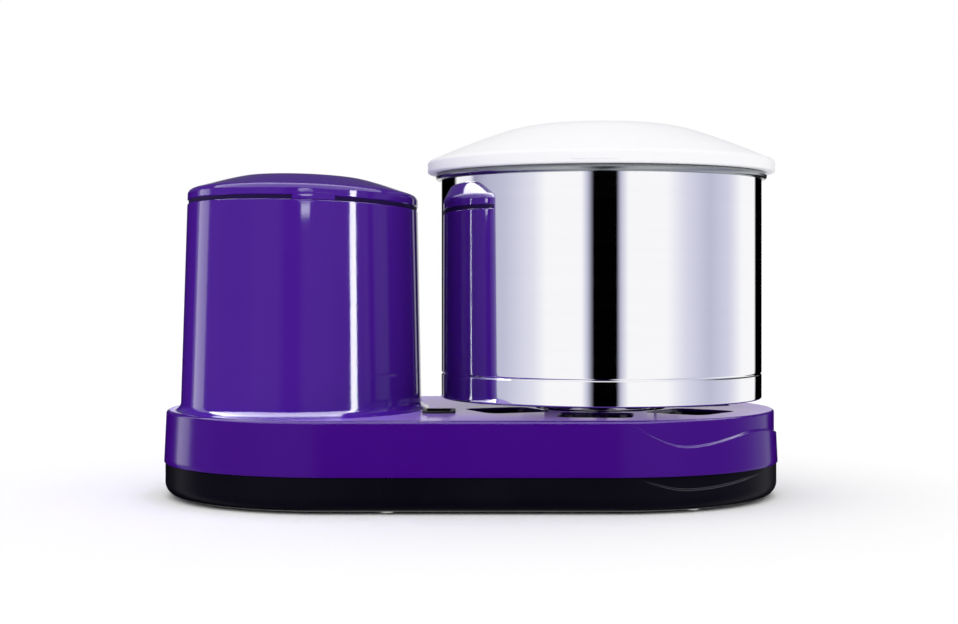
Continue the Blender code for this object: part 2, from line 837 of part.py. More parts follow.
def make_chassis_bolts():
    for number, (x, y) in enumerate(chassis_bolt_places(), 1):
        seat = chassis_top + clearance
        if (x, y) in bracket_bolts():
            seat += bracket_thickness + clearance
        head_top = seat + chassis_bolt_head_height
        tip = pan_floor_top + clearance
        profile = [
            (0, head_top),
            (chassis_bolt_head_radius, head_top),
            (chassis_bolt_head_radius, seat),
            (chassis_bolt_radius, seat),
            (chassis_bolt_radius, tip),
            (0, tip),
        ]
        turned("chassis_bolt_" + str(number), profile, "zinc_steel", place=(x, y, 0), steps=screw_steps)


# Spindle: a flanged steel pin bolted to the chassis, with two flats near its top
spindle_tail_radius = 0.006
spindle_tail_bottom = pan_floor_top + clearance
spindle_flange_radius = 0.022
spindle_flange_thickness = 0.004
spindle_shoulder_radius = 0.0125
spindle_nut_radius = 0.011
hub_bearing_radius = 0.022
hub_bearing_width = 0.012
hub_radius = 0.028
hub_bottom = 0.0192
hub_rise = 0.005
hub_top = well_floor + hub_rise
flat_half_width = 0.0075
flat_bottom_rise = 0.064
flat_top_rise = 0.098
flat_bottom = stone_top + flat_bottom_rise
flat_top = stone_top + flat_top_rise
thread_radius = 0.007
thread_length = 0.022
spindle_top = flat_top + thread_length


def make_spindle():
    seat = chassis_top + clearance
    flange_top = seat + spindle_flange_thickness
    shoulder_top = hub_bottom + 2 * clearance
    profile = [
        (0, spindle_top),
        (thread_radius, spindle_top),
        (thread_radius, flat_top),
        (spindle_radius, flat_top),
        (spindle_radius, shoulder_top),
        (spindle_shoulder_radius, shoulder_top),
        (spindle_shoulder_radius, flange_top),
        (spindle_flange_radius, flange_top),
        (spindle_flange_radius, seat),
        (spindle_tail_radius, seat),
        (spindle_tail_radius, spindle_tail_bottom),
        (0, spindle_tail_bottom),
    ]
    spindle = turned("spindle", profile, "plain_steel", parent=drum_axis, steps=small_steps)
    length = flat_top - flat_bottom
    size = (4 * spindle_radius, spindle_radius, length)
    reach = flat_half_width + spindle_radius / 2
    blocks = [(size, (0, side * reach, flat_bottom + length / 2), 0) for side in (-1, 1)]
    cut(spindle, boxes("spindle_flats", blocks, parent=drum_axis))
    nut_top = chassis_bottom - clearance
    nut_bottom = spindle_tail_bottom
    hexagon_nut("spindle_nut", spindle_nut_radius, spindle_tail_radius, nut_bottom, nut_top, drum_axis)


def hexagon_nut(name, radius, thread, bottom, top, parent):
    outlines = [circle_points(radius, nut_sides), circle_points(thread + clearance, fine_steps)]
    plate(name, outlines, bottom, top, "zinc_steel", parent=parent)


def make_hub_bearings():
    bore = spindle_radius + clearance
    lower = hub_bottom + 3 * clearance
    upper = hub_top - 2 * clearance - hub_bearing_width
    for name, bottom in (("hub_bearing_lower", lower), ("hub_bearing_upper", upper)):
        profile = bearing_profile(bore, hub_bearing_radius, bottom, bottom + hub_bearing_width)
        turned(name, profile, "plain_steel", parent=drum_axis, steps=small_steps, ring=True)


def bearing_profile(bore, radius, bottom, top):
    """Outer and inner ring, with the shield between them set in a little on the upper face."""
    third = (radius - bore) / 3
    sink = (top - bottom) / 12
    return [
        (radius, top),
        (radius, bottom),
        (bore, bottom),
        (bore, top),
        (bore + third, top),
        (bore + third, top - sink),
        (radius - third, top - sink),
        (radius - third, top),
    ]


# Pulleys: both have flanges above and below the belt
pulley_flange_rise = 0.002
pulley_flange_thickness = 0.0015
pulley_rim_thickness = 0.006
pulley_web_thickness = 0.004
pulley_hole_count = 6
pulley_hole_share = 0.23
groove_count = 3
groove_depth = 0.0008


def belt_face(radius, low, high, grooves):
    """The running face of a pulley from top to bottom, between its two flanges, with any V grooves."""
    flange_radius = radius + pulley_flange_rise
    face_top = high - pulley_flange_thickness
    face_bottom = low + pulley_flange_thickness
    points = [(flange_radius, high), (flange_radius, face_top)]
    step = (face_top - face_bottom) / max(grooves, 1)
    for i in range(grooves):
        points.append((radius, face_top - i * step))
        points.append((radius - groove_depth, face_top - (i + 0.5) * step))
    if not grooves:
        points.append((radius, face_top))
    points.append((radius, face_bottom))
    points += [(flange_radius, face_bottom), (flange_radius, low)]
    return points


def make_drum_pulley():
    half = belt_width / 2 + pulley_flange_thickness + 2 * clearance
    low = belt_height - half
    high = belt_height + half
    rim_inner = drum_pulley_radius - pulley_rim_thickness
    web_low = belt_height - pulley_web_thickness / 2
    web_high = belt_height + pulley_web_thickness / 2
    seat = hub_bearing_radius + clearance
    middle = (seat + spindle_radius) / 2
    upper_seat = hub_top - 3 * clearance - hub_bearing_width
    lower_seat = hub_bottom + 4 * clearance + hub_bearing_width
    profile = [(hub_radius, hub_top), (hub_radius, web_high), (rim_inner, web_high), (rim_inner, high)]
    profile += belt_face(drum_pulley_radius, low, high, 0)
    profile += [(rim_inner, low), (rim_inner, web_low), (hub_radius, web_low), (hub_radius, hub_bottom)]
    profile += [(seat, hub_bottom), (seat, lower_seat), (middle, lower_seat), (middle, upper_seat)]
    profile += [(seat, upper_seat), (seat, hub_top)]
    pulley = turned("drum_pulley", profile, "cast_aluminium", parent=drum_axis, steps=medium_steps, ring=True)
    hole_radius = pulley_hole_share * (rim_inner - hub_radius)
    holes = []
    for x, y in circle_points((rim_inner + hub_radius) / 2, pulley_hole_count):
        holes.append((hole_radius, web_low - overrun, web_high + overrun, (x, y)))
    cut(pulley, rods("pulley_holes", holes, parent=drum_axis))


def make_motor_pulley():
    half = belt_width / 2 + pulley_flange_thickness + 2 * clearance
    low = belt_height - half
    high = belt_height + half
    bore = shaft_radius + clearance
    profile = belt_face(motor_pulley_radius, low, high, groove_count) + [(bore, low), (bore, high)]
    turned("motor_pulley", profile, "plain_steel", parent=motor_axis, steps=fine_steps, ring=True)


def make_drive_belt():
    """A loop round both pulleys: an arc on each, joined by the tangents."""
    distance = drum_x - tower_x
    tangent = math.acos((motor_pulley_radius - drum_pulley_radius) / distance)

    def loop(grow):
        points = []
        for centre, radius, start, end, steps in (
            (drum_x, drum_pulley_radius, -tangent, tangent, large_steps),
            (tower_x, motor_pulley_radius, tangent, 2 * math.pi - tangent, screw_steps),
        ):
            for i in range(steps + 1):
                angle = start + (end - start) * i / steps
                reach = radius + grow
                points.append((centre + reach * math.cos(angle), reach * math.sin(angle)))
        return points

    outlines = [loop(clearance + belt_thickness), loop(clearance)]
    plate("drive_belt", outlines, belt_height - belt_width / 2, belt_height + belt_width / 2, "black_rubber")


# Drive plate with pegs, and the coupler under the drum that they enter
drive_plate_radius = 0.045
drive_plate_thickness = 0.003
drive_peg_count = 3
drive_peg_radius = 0.0045
drive_peg_circle = 0.034
drive_peg_height = 0.008
coupler_radius = 0.044
coupler_peg_gap = 0.0006
drive_plate_bottom = hub_top + clearance
drive_plate_top = drive_plate_bottom + drive_plate_thickness


def make_drive_plate():
    bore = spindle_radius + 2 * clearance
    profile = ring_profile(bore, drive_plate_radius, drive_plate_bottom, drive_plate_top)
    disc = turned("drive_plate", profile, "plain_steel", parent=drum_axis, steps=medium_steps, ring=True)
    places = circle_points(drive_peg_circle, drive_peg_count)
    peg_bottom = drive_plate_bottom + drive_plate_thickness / 2
    peg_top = drive_plate_top + drive_peg_height
    pegs = [(drive_peg_radius, peg_bottom, peg_top, place) for place in places]
    join(disc, rods("drive_pegs", pegs, parent=drum_axis))


# Drum parts
tube_radius = 0.017
tube_wall = 0.004
tube_rise = 0.050
tube_top = stone_top + tube_rise
tube_flange_radius = 0.024
tube_flange_thickness = 0.002
clamp_nut_radius = 0.026
clamp_nut_height = 0.008


def make_drum():
    """Thin steel: a rolled bead at the top, a groove low on the side and a rounded bottom corner."""
    bead_centre = drum_inner_radius + drum_bead_radius
    bead_height = drum_top - drum_bead_radius
    bead_meets = -math.degrees(math.acos((drum_radius - bead_centre) / drum_bead_radius))
    outer_bead = arc(bead_centre, bead_height, drum_bead_radius, 90, bead_meets, 4)
    groove = [
        (drum_radius, drum_groove_height + drum_groove_half_width),
        (drum_radius - drum_groove_depth, drum_groove_height),
        (drum_radius, drum_groove_height - drum_groove_half_width),
    ]
    corner_centre = drum_radius - drum_corner_round
    corner_height = drum_bottom + drum_corner_round
    outer_corner = arc(corner_centre, corner_height, drum_corner_round, 0, -90, 3)
    inner_corner = arc(corner_centre, corner_height, drum_corner_round - drum_wall, -90, 0, 3)
    hole = tube_radius + clearance
    bottom = [(hole, drum_bottom), (hole, drum_bottom + drum_wall)]
    inner_bead = arc(bead_centre, bead_height, drum_bead_radius, 180, 90, 2)[:-1]
    profile = outer_bead + groove + outer_corner + bottom + inner_corner + inner_bead
    turned("drum", profile, "mirror_steel", parent=drum_axis, ring=True)


def make_drum_tube():
    seat = drum_bottom + drum_wall + clearance
    low = drive_plate_top + 2 * clearance
    profile = [
        (tube_radius, tube_top),
        (tube_radius, seat + tube_flange_thickness),
        (tube_flange_radius, seat + tube_flange_thickness),
        (tube_flange_radius, seat),
        (tube_radius, seat),
        (tube_radius, low),
        (tube_radius - tube_wall, low),
        (tube_radius - tube_wall, tube_top),
    ]
    turned("drum_tube", profile, "plain_steel", parent=drum_axis, steps=small_steps, ring=True)


def make_drum_coupler():
    low = drive_plate_top + clearance
    high = drum_bottom - clearance
    profile = ring_profile(tube_radius + clearance, coupler_radius, low, high)
    coupler = turned("drum_coupler", profile, "grey_plastic", parent=drum_axis, steps=medium_steps, ring=True)
    radius = drive_peg_radius + coupler_peg_gap
    places = circle_points(drive_peg_circle, drive_peg_count)
    holes = [(radius, low - overrun, high + overrun, place) for place in places]
    cut(coupler, rods("coupler_holes", holes, parent=drum_axis))


def make_base_stone():
    """The granite bed. Its lower corner follows the drum's, and its centre is sunk for the tube's flange."""
    outer = drum_inner_radius - clearance
    low = drum_bottom + drum_wall + clearance
    corner = drum_corner_round - drum_wall
    bore = tube_radius + clearance
    sink = low + tube_flange_thickness + 2 * clearance
    chamfer = roller_edge_round / 2
    profile = [(bore, stone_top), (outer - chamfer, stone_top), (outer, stone_top - chamfer)]
    profile += arc(outer - corner, low + corner, corner, 0, -90, 3)
    flange_room = tube_flange_radius + clearance
    profile += [(flange_room, low), (flange_room, sink), (bore, sink)]
    turned("base_stone", profile, "granite", parent=drum_axis, ring=True)


def make_clamp_nut():
    low = stone_top + clearance
    high = low + clamp_nut_height
    chamfer = clamp_nut_height / 5
    bore = tube_radius + clearance
    profile = [(clamp_nut_radius - chamfer, high), (clamp_nut_radius, high - chamfer)]
    profile += [(clamp_nut_radius, low), (bore, low), (bore, high)]
    turned("stone_clamp_nut", profile, "white_nylon", parent=drum_axis, steps=small_steps, ring=True)


# Lid: shares of its radius and of the rise from its flange to its top
lid_dome_shares = [(0.965, 0.02), (0.82, 0.31), (0.66, 0.60), (0.52, 0.82), (0.40, 0.93), (0.22, 0.985)]


def make_lid():
    low = drum_top + clearance
    flange_top = low + lid_flange_height
    edge = lid_flange_height / 4
    lip_outer = drum_inner_radius - lid_lip_gap
    lip_inner = lip_outer - lid_wall
    lip_bottom = drum_top - lid_lip_depth
    rise = lid_top - flange_top
    dome = [(lid_radius * out, flange_top + rise * up) for out, up in lid_dome_shares]
    inner_dome = [(radius, height - lid_wall) for radius, height in dome if radius < lip_inner]
    profile = [(0, lid_top)] + dome[::-1]
    profile += [(lid_radius - edge / 2, flange_top - edge / 2), (lid_radius, flange_top - edge)]
    profile += [(lid_radius, low + edge), (lid_radius - edge, low), (lip_outer, low), (lip_outer, lip_bottom)]
    profile += [(lip_inner, lip_bottom), (lip_inner, flange_top - lid_wall)]
    profile += inner_dome + [(0, lid_top - lid_wall)]
    lid = turned("lid", profile, "white_plastic", parent=drum_axis)
    tab = ring_profile(lid_radius - lid_wall, lid_radius + lid_tab_proud, low + edge, flange_top - edge)
    ring = turned("lid_tab", tab, parent=drum_axis, ring=True)
    size = (lid_tab_width, lid_radius, 4 * lid_flange_height)
    limit = boxes("lid_tab_limit", [(size, (0, -lid_radius, low), lid_tab_turn)], parent=drum_axis)
    boolean(ring, limit, "INTERSECT")
    join(lid, ring)


# Stone holder: a sleeve over the drum's tube and the spindle's flats, with a side boss for each axle
holder_skirt_rise = 0.020
holder_skirt_gap = 0.0015
holder_skirt_wall = 0.0085
holder_step_rise = 0.058
holder_skirt_bottom = stone_top + holder_skirt_rise
holder_step_height = stone_top + holder_step_rise
holder_neck_radius = 0.019
axle_radius = 0.006
axle_boss_radius = 0.0115
axle_boss_reach = 0.0315
bush_flange_radius = 0.0125
bush_flange_thickness = 0.003
roller_nut_radius = 0.011
roller_nut_thickness = 0.006
roller_steps = 24
axle_end_beyond_nut = 0.0025
skirt_inner = tube_radius + holder_skirt_gap
skirt_outer = skirt_inner + holder_skirt_wall


def make_stone_holder():
    ceiling = tube_top + tube_wall
    bore = spindle_radius + clearance
    profile = [
        (0, flat_top),
        (holder_neck_radius, flat_top),
        (holder_neck_radius, holder_step_height + holder_skirt_wall),
        (skirt_outer, holder_step_height),
        (skirt_outer, holder_skirt_bottom),
        (skirt_inner, holder_skirt_bottom),
        (skirt_inner, ceiling),
        (0, ceiling),
    ]
    holder = turned("stone_holder", profile, "cast_aluminium", parent=drum_axis, steps=small_steps)
    for side, name in ((-1, "left"), (1, "right")):
        boss = turned(
            "axle_boss_" + name,
            rod_profile(axle_boss_radius, skirt_inner + holder_skirt_gap, axle_boss_reach),
            parent=drum_axis,
            place=(0, 0, axle_height),
            turn=(0, side * math.pi / 2, 0),
            steps=fine_steps,
        )
        join(holder, boss)
    for side, name in ((-1, "left"), (1, "right")):
        hole = turned(
            "axle_hole_" + name,
            rod_profile(axle_radius + clearance, tube_radius, axle_boss_reach + overrun),
            parent=drum_axis,
            place=(0, 0, axle_height),
            turn=(0, side * math.pi / 2, 0),
            steps=fine_steps,
        )
        cut(holder, hole)
    key_room = rod_profile(bore, ceiling - overrun, flat_top + overrun)
    key = turned("key_hole", key_room, parent=drum_axis, steps=small_steps)
    size = (4 * bore, 2 * (flat_half_width + clearance), flat_top)
    centre = (0, 0, ceiling + flat_top / 2 - overrun / 2)
    boolean(key, boxes("key_limit", [(size, centre, 0)], parent=drum_axis), "INTERSECT")
    cut(holder, key)
    round_room = rod_profile(bore, ceiling - overrun, flat_bottom + overrun / 2)
    cut(holder, turned("key_lead_in", round_room, parent=drum_axis, steps=small_steps))


def roller_axis(side):
    name = "roller_axis_left" if side < 0 else "roller_axis_right"
    return axis_empty(name, (drum_x, 0, axle_height), (0, side * math.pi / 2, 0))


def make_rollers():
    """Each roller turns on its own stub axle. Its pieces are turned about Z and laid outwards along X."""
    bush_outer = roller_bore - clearance
    bush_inner = axle_radius + clearance
    flange_low = roller_inner_end - clearance - bush_flange_thickness
    nut_low = roller_outer_end + 2 * clearance
    nut_high = nut_low + roller_nut_thickness
    edge = roller_edge_round
    for side, name in ((-1, "left"), (1, "right")):
        axis = roller_axis(side)
        shape = arc(roller_radius - edge, roller_outer_end - edge, edge, 90, 0, 2)
        shape += arc(roller_radius - edge, roller_inner_end + edge, edge, 0, -90, 2)
        shape += [(roller_bore, roller_inner_end), (roller_bore, roller_outer_end)]
        turned("roller_stone_" + name, shape, "granite", parent=axis, steps=roller_steps, ring=True)
        bush = [
            (bush_outer, roller_outer_end),
            (bush_outer, flange_low + bush_flange_thickness),
            (bush_flange_radius, flange_low + bush_flange_thickness),
            (bush_flange_radius, flange_low),
            (bush_inner, flange_low),
            (bush_inner, roller_outer_end),
        ]
        turned("roller_bush_" + name, bush, "white_nylon", parent=axis, steps=fine_steps, ring=True)
        axle = rod_profile(axle_radius, skirt_inner + clearance, nut_high + axle_end_beyond_nut)
        turned("roller_axle_" + name, axle, "plain_steel", parent=axis, steps=fine_steps)
        hexagon_nut("roller_nut_" + name, roller_nut_radius, axle_radius, nut_low, nut_high, axis)


# Wiper: a bent flat arm from the holder's neck to a blade along the drum's wall
wiper_arm_width = 0.012
wiper_arm_thickness = 0.002
wiper_arm_drop = 0.014
wiper_blade_gap = 0.001
wiper_blade_thickness = 0.003
wiper_blade_depth = 0.018
wiper_blade_gap_below = 0.002
wiper_blade_drop = 0.006
wiper_arm_height = flat_top - wiper_arm_drop
wiper_blade_bottom = stone_top + wiper_blade_gap_below
wiper_blade_top = flat_top - wiper_blade_drop


def make_wiper():
    """The arm's clamp ring sits round the holder's neck, and its bent end is fixed to the blade's face."""
    neck = holder_neck_radius + clearance
    ring_outer = neck + 2 * wiper_arm_thickness
    low = wiper_arm_height - wiper_arm_width / 2
    high = wiper_arm_height + wiper_arm_width / 2
    clamp = ring_profile(neck, ring_outer, low, high)
    arm = turned("wiper_arm", clamp, "plain_steel", parent=drum_axis, steps=small_steps, ring=True)
    blade_outer = drum_inner_radius - wiper_blade_gap
    blade_inner = blade_outer - wiper_blade_depth
    arm_end = blade_inner + wiper_blade_depth / 2
    start = neck + wiper_arm_thickness
    side = wiper_blade_thickness / 2 + clearance + wiper_arm_thickness / 2
    size = (wiper_arm_thickness, arm_end - start, wiper_arm_width)
    centre = (side, (start + arm_end) / 2, wiper_arm_height)
    join(arm, boxes("wiper_bar", [(size, centre, 0)], parent=drum_axis))
    height = wiper_blade_top - wiper_blade_bottom
    size = (wiper_blade_thickness, wiper_blade_depth, height)
    centre = (0, (blade_outer + blade_inner) / 2, (wiper_blade_top + wiper_blade_bottom) / 2)
    boxes("wiper_blade", [(size, centre, 0)], "white_nylon", parent=drum_axis)


# Lock spring and knob on top of the holder
spring_wire = 0.0011
spring_radius = 0.0125
spring_curls = 4
spring_points_per_curl = 8
spring_height = 0.0135
knob_radius = 0.023
knob_rise = 0.040
knob_thread_room = 0.004
knob_flute_count = 6
knob_flute_radius = 0.007
knob_top = flat_top + knob_rise
knob_bore_height = spindle_top + knob_thread_room


def make_lock_spring():
    """One wire: its axis climbs evenly, and its end curls lie flat on the holder and under the knob."""
    low = flat_top + clearance + spring_wire
    high = flat_top + spring_height - spring_wire
    count = spring_curls * spring_points_per_curl
    points = []
    for i in range(count + 1):
        angle = 2 * math.pi * i / spring_points_per_curl
        share = i / count
        reach = (spring_radius * math.cos(angle), spring_radius * math.sin(angle))
        points.append((*reach, low + (high - low) * share))
    gap = min(
        (Vector(a) - Vector(b)).length
        for i, a in enumerate(points)
        for b in points[i + spring_points_per_curl // 2 :]
    )
    print("lock_spring least gap to itself:", round(1000 * (gap - 2 * spring_wire), 2), "mm")
    curve = bpy.data.curves.new("lock_spring", "CURVE")
    curve.dimensions = "3D"
    curve.bevel_depth = spring_wire
    curve.bevel_resolution = 1
    curve.use_fill_caps = True
    spline = curve.splines.new("POLY")
    spline.points.add(len(points) - 1)
    for point, place in zip(spline.points, points):
        point.co = (*place, 1)
    add_object("lock_spring", mesh_of_curve(curve, "lock_spring"), "plain_steel", drum_axis)


def make_lock_knob():
    low = flat_top + spring_height + clearance
    edge = knob_flute_radius / 4
    bore = thread_radius + clearance
    profile = [
        (0, knob_top),
        (knob_radius - edge, knob_top),
        (knob_radius, knob_top - edge),
        (knob_radius, low + edge),
        (knob_radius - edge, low),
        (bore, low),
        (bore, knob_bore_height),
        (0, knob_bore_height),
    ]
    knob = turned("lock_knob", profile, "black_gloss", parent=drum_axis, steps=medium_steps)
    reach = knob_radius + knob_flute_radius / 2
    flutes = [
        (knob_flute_radius, low - overrun, knob_top + overrun, place)
        for place in circle_points(reach, knob_flute_count)
    ]
    cut(knob, rods("knob_flutes", flutes, parent=drum_axis))


# Motor bracket: a hat-shaped pressing on the chassis, open to the drum's side for the belt
bracket_thickness = 0.0025
bracket_flange_reach = 0.016
bracket_wall_slope = 0.003
bracket_flange_radius = motor_radius + bracket_flange_reach
bracket_wall_radius = motor_radius + bracket_wall_slope
bracket_top = 0.0625
bracket_hole_radius = 0.022
bracket_window_low = 0.020
bracket_window_high = 0.046
bracket_belt_window = 0.090
bracket_vent_window = 0.044


def make_motor_bracket():
    seat = chassis_top + clearance
    flange_top = seat + bracket_thickness
    under_top = bracket_top - bracket_thickness
    profile = [
        (motor_radius, bracket_top),
        (bracket_wall_radius, flange_top),
        (bracket_flange_radius, flange_top),
        (bracket_flange_radius, seat),
        (bracket_wall_radius - bracket_thickness, seat),
        (motor_radius - bracket_thickness, under_top),
        (bracket_hole_radius, under_top),
        (bracket_hole_radius, bracket_top),
    ]
    bracket = turned("motor_bracket", profile, "zinc_steel", parent=motor_axis, steps=small_steps, ring=True)
    height = bracket_window_high - bracket_window_low
    middle = (bracket_window_high + bracket_window_low) / 2
    reach = bracket_wall_radius
    blocks = [((reach, bracket_belt_window, height), (reach, 0, middle), 0)]
    for quarter in (1, 2, 3):
        blocks.append(((reach, bracket_vent_window, height), (reach, 0, middle), quarter * math.pi / 2))
    cut(bracket, boxes("bracket_windows", blocks, parent=motor_axis))
    holes = []
    for x, y in bracket_bolts():
        radius = chassis_bolt_radius + bolt_hole_gap
        holes.append((radius, seat - overrun / 4, flange_top + overrun / 4, (x - tower_x, y)))
    cut(bracket, rods("bracket_bolt_holes", holes, parent=motor_axis))


# Motor: two cast shields hold the stator core between them and carry a bearing each
shield_wall = 0.0035
shield_depth = 0.019
core_height = 0.052
core_thickness = 0.026
core_bore = motor_radius - core_thickness
air_gap = 0.0005
bearing_radius = 0.013
bearing_width = 0.009
bearing_boss_wall = 0.005
boss_drop = 0.0085
winding_set_in = 0.007
winding_bore_gap = 0.005
winding_outer = motor_radius - winding_set_in
winding_inner = core_bore + winding_bore_gap
winding_height = 0.013
shaft_bottom = 0.022
shaft_above_boss = 0.030
shield_window = 0.022
lower_shield_bottom = bracket_top + clearance
core_bottom = lower_shield_bottom + shield_depth + clearance
core_top = core_bottom + core_height
upper_shield_bottom = core_top + clearance
upper_shield_top = upper_shield_bottom + shield_depth
lower_boss_bottom = lower_shield_bottom - boss_drop
upper_boss_top = upper_shield_top + boss_drop
shaft_top = upper_boss_top + shaft_above_boss


def shield_profile(face, rim, boss_end):
    """A cup with a bearing boss. face is its flat end, rim its open end, boss_end the end of its boss."""
    inward = shield_wall if rim > face else -shield_wall
    lip = inward / 3
    seat = bearing_radius + clearance
    boss = seat + bearing_boss_wall
    return [
        (motor_radius, rim),
        (motor_radius, face),
        (boss, face),
        (boss, boss_end),
        (seat - bearing_boss_wall / 2, boss_end),
        (seat - bearing_boss_wall / 2, boss_end + lip),
        (seat, boss_end + lip),
        (seat, face + inward),
        (motor_radius - shield_wall, face + inward),
        (motor_radius - shield_wall, rim),
    ]


def make_shields():
    lower = shield_profile(lower_shield_bottom, core_bottom - clearance, lower_boss_bottom)
    upper = shield_profile(upper_shield_top, upper_shield_bottom, upper_boss_top)
    for name, profile in (("motor_shield_lower", lower), ("motor_shield_upper", upper[::-1])):
        shield = turned(name, profile, "cast_aluminium", parent=motor_axis, steps=small_steps, ring=True)
        size = (motor_radius, shield_window, shield_depth / 2)
        middle = core_bottom - shield_depth / 2 if name.endswith("lower") else core_top + shield_depth / 2
        turns = [math.radians(45 + 90 * i) for i in range(4)]
        windows = [(size, (motor_radius, 0, middle), turn) for turn in turns]
        cut(shield, boxes(name + "_windows", windows, parent=motor_axis))


def make_stator():
    core = ring_profile(core_bore, motor_radius, core_bottom, core_top)
    turned("stator_core", core, "laminated_iron", parent=motor_axis, steps=medium_steps, ring=True)
    round_by = winding_height / 4
    for name, low, high in (
        ("winding_lower", core_bottom - clearance - winding_height, core_bottom - clearance),
        ("winding_upper", core_top + clearance, core_top + clearance + winding_height),
    ):
        far = low if name.endswith("lower") else high
        near = high if name.endswith("lower") else low
        inset = round_by if far > near else -round_by
        profile = [
            (winding_outer - round_by, far),
            (winding_outer, far - inset),
            (winding_outer, near),
            (winding_inner, near),
            (winding_inner, far - inset),
            (winding_inner + round_by, far),
        ]
        if far < near:
            profile.reverse()
        turned(name, profile, "copper_winding", parent=motor_axis, steps=small_steps, ring=True)


def make_rotor():
    outer = core_bore - air_gap
    bore = shaft_radius + clearance
    ring_height = winding_height / 3
    ring_inner = outer * 2 / 3
    profile = [
        (outer, core_top + ring_height),
        (outer, core_bottom - ring_height),
        (ring_inner, core_bottom - ring_height),
        (ring_inner, core_bottom),
        (bore, core_bottom),
        (bore, core_top),
        (ring_inner, core_top),
        (ring_inner, core_top + ring_height),
    ]
    turned("rotor", profile, "laminated_iron", parent=motor_axis, steps=small_steps, ring=True)
    chamfer = shaft_radius / 6
    shaft = [(0, shaft_top), (shaft_radius - chamfer, shaft_top), (shaft_radius, shaft_top - chamfer)]
    shaft += [(shaft_radius, shaft_bottom + chamfer), (shaft_radius - chamfer, shaft_bottom)]
    shaft.append((0, shaft_bottom))
    turned("motor_shaft", shaft, "plain_steel", parent=motor_axis, steps=fine_steps)


def make_motor_bearings():
    lip = shield_wall / 3
    bore = shaft_radius + clearance
    lower = lower_boss_bottom + lip + clearance
    upper = upper_boss_top - lip - clearance - bearing_width
    for name, low in (("motor_bearing_lower", lower), ("motor_bearing_upper", upper)):
        profile = bearing_profile(bore, bearing_radius, low, low + bearing_width)
        turned(name, profile, "plain_steel", parent=motor_axis, steps=fine_steps, ring=True)


fan_set_in = 0.012
fan_radius = motor_radius - fan_set_in
fan_hub_radius = 0.013
fan_blade_count = 8
fan_blade_height = 0.014
fan_blade_thickness = 0.0016
fan_disc_thickness = 0.002
fan_above_boss = 0.004


def make_cooling_fan():
    bore = shaft_radius + clearance
    low = upper_boss_top + fan_above_boss
    disc_top = low + fan_disc_thickness
    high = disc_top + fan_blade_height
    profile = [
        (fan_hub_radius, high),
        (fan_hub_radius, disc_top),
        (fan_radius, disc_top),
        (fan_radius, low),
        (bore, low),
        (bore, high),
    ]
    fan = turned("cooling_fan", profile, "grey_plastic", parent=motor_axis, steps=small_steps, ring=True)
    start = (bore + fan_hub_radius) / 2
    end = fan_radius - fan_blade_thickness
    size = (end - start, fan_blade_thickness, high - low - fan_disc_thickness / 2 - clearance)
    centre = ((start + end) / 2, 0, low + fan_disc_thickness / 2 + size[2] / 2)
    blades = [(size, centre, 2 * math.pi * i / fan_blade_count) for i in range(fan_blade_count)]
    join(fan, boxes("fan_blades", blades, parent=motor_axis))


# Capacitor on the chassis behind the belt, its clamp, and the terminal block in front
capacitor_radius = 0.016
capacitor_length = 0.050
capacitor_bracket_gap = 0.027
capacitor_margin = 0.045
capacitor_x = tower_x + bracket_flange_radius + capacitor_bracket_gap
capacitor_place = (capacitor_x, base_end_radius - capacitor_margin)
clamp_width = 0.014
clamp_thickness = 0.0015
clamp_foot = 0.010
terminal_motor_gap = 0.088
terminal_margin = 0.050
terminal_place = (tower_x + terminal_motor_gap, terminal_margin - base_end_radius)
terminal_size = (0.040, 0.014, 0.014)
terminal_count = 4


def make_capacitor():
    x, y = capacitor_place
    seat = chassis_top + 2 * clearance + clamp_thickness
    centre = (x, y, seat + capacitor_radius)
    half = capacitor_length / 2
    edge = capacitor_radius / 8
    profile = [
        (0, half),
        (capacitor_radius - edge, half),
        (capacitor_radius, half - edge),
        (capacitor_radius, -half),
        (0, -half),
    ]
    along_x = (0, math.pi / 2, 0)
    can = turned("capacitor", profile, "cast_aluminium", place=centre, turn=along_x, steps=small_steps)
    blade = (capacitor_radius / 2, capacitor_radius / 12, capacitor_radius / 2)
    spread = capacitor_radius / 3
    blades = [(blade, (x - half - blade[0] / 3, y + side * spread, centre[2]), 0) for side in (-1, 1)]
    join(can, boxes("capacitor_blades", blades))
    inner = capacitor_radius + clearance
    outer = inner + clamp_thickness
    band = turned(
        "capacitor_clamp",
        ring_profile(inner, outer, -clamp_width / 2, clamp_width / 2),
        "zinc_steel",
        place=centre,
        turn=along_x,
        steps=small_steps,
        ring=True,
    )
    foot_low = chassis_top + clearance
    foot_size = (clamp_width, outer + clamp_foot, clamp_thickness)
    foot_centre = (x, y - foot_size[1] / 2, foot_low + clamp_thickness / 2)
    join(band, boxes("clamp_foot", [(foot_size, foot_centre, 0)]))
    room = rod_profile(inner, -half, half)
    cut(band, turned("clamp_room", room, place=centre, turn=along_x, steps=small_steps))


def make_terminal_block():
    x, y = terminal_place
    low = chassis_top + clearance
    centre = (x, y, low + terminal_size[2] / 2)
    block = boxes("terminal_block", [(terminal_size, centre, 0)], "white_nylon")
    pitch = terminal_size[0] / terminal_count
    top = low + terminal_size[2]
    wells = []
    for i in range(terminal_count):
        offset = (i - (terminal_count - 1) / 2) * pitch
        wells.append((pitch / 4, centre[2], top + overrun, (x + offset, y)))
    cut(block, rods("terminal_wells", wells))


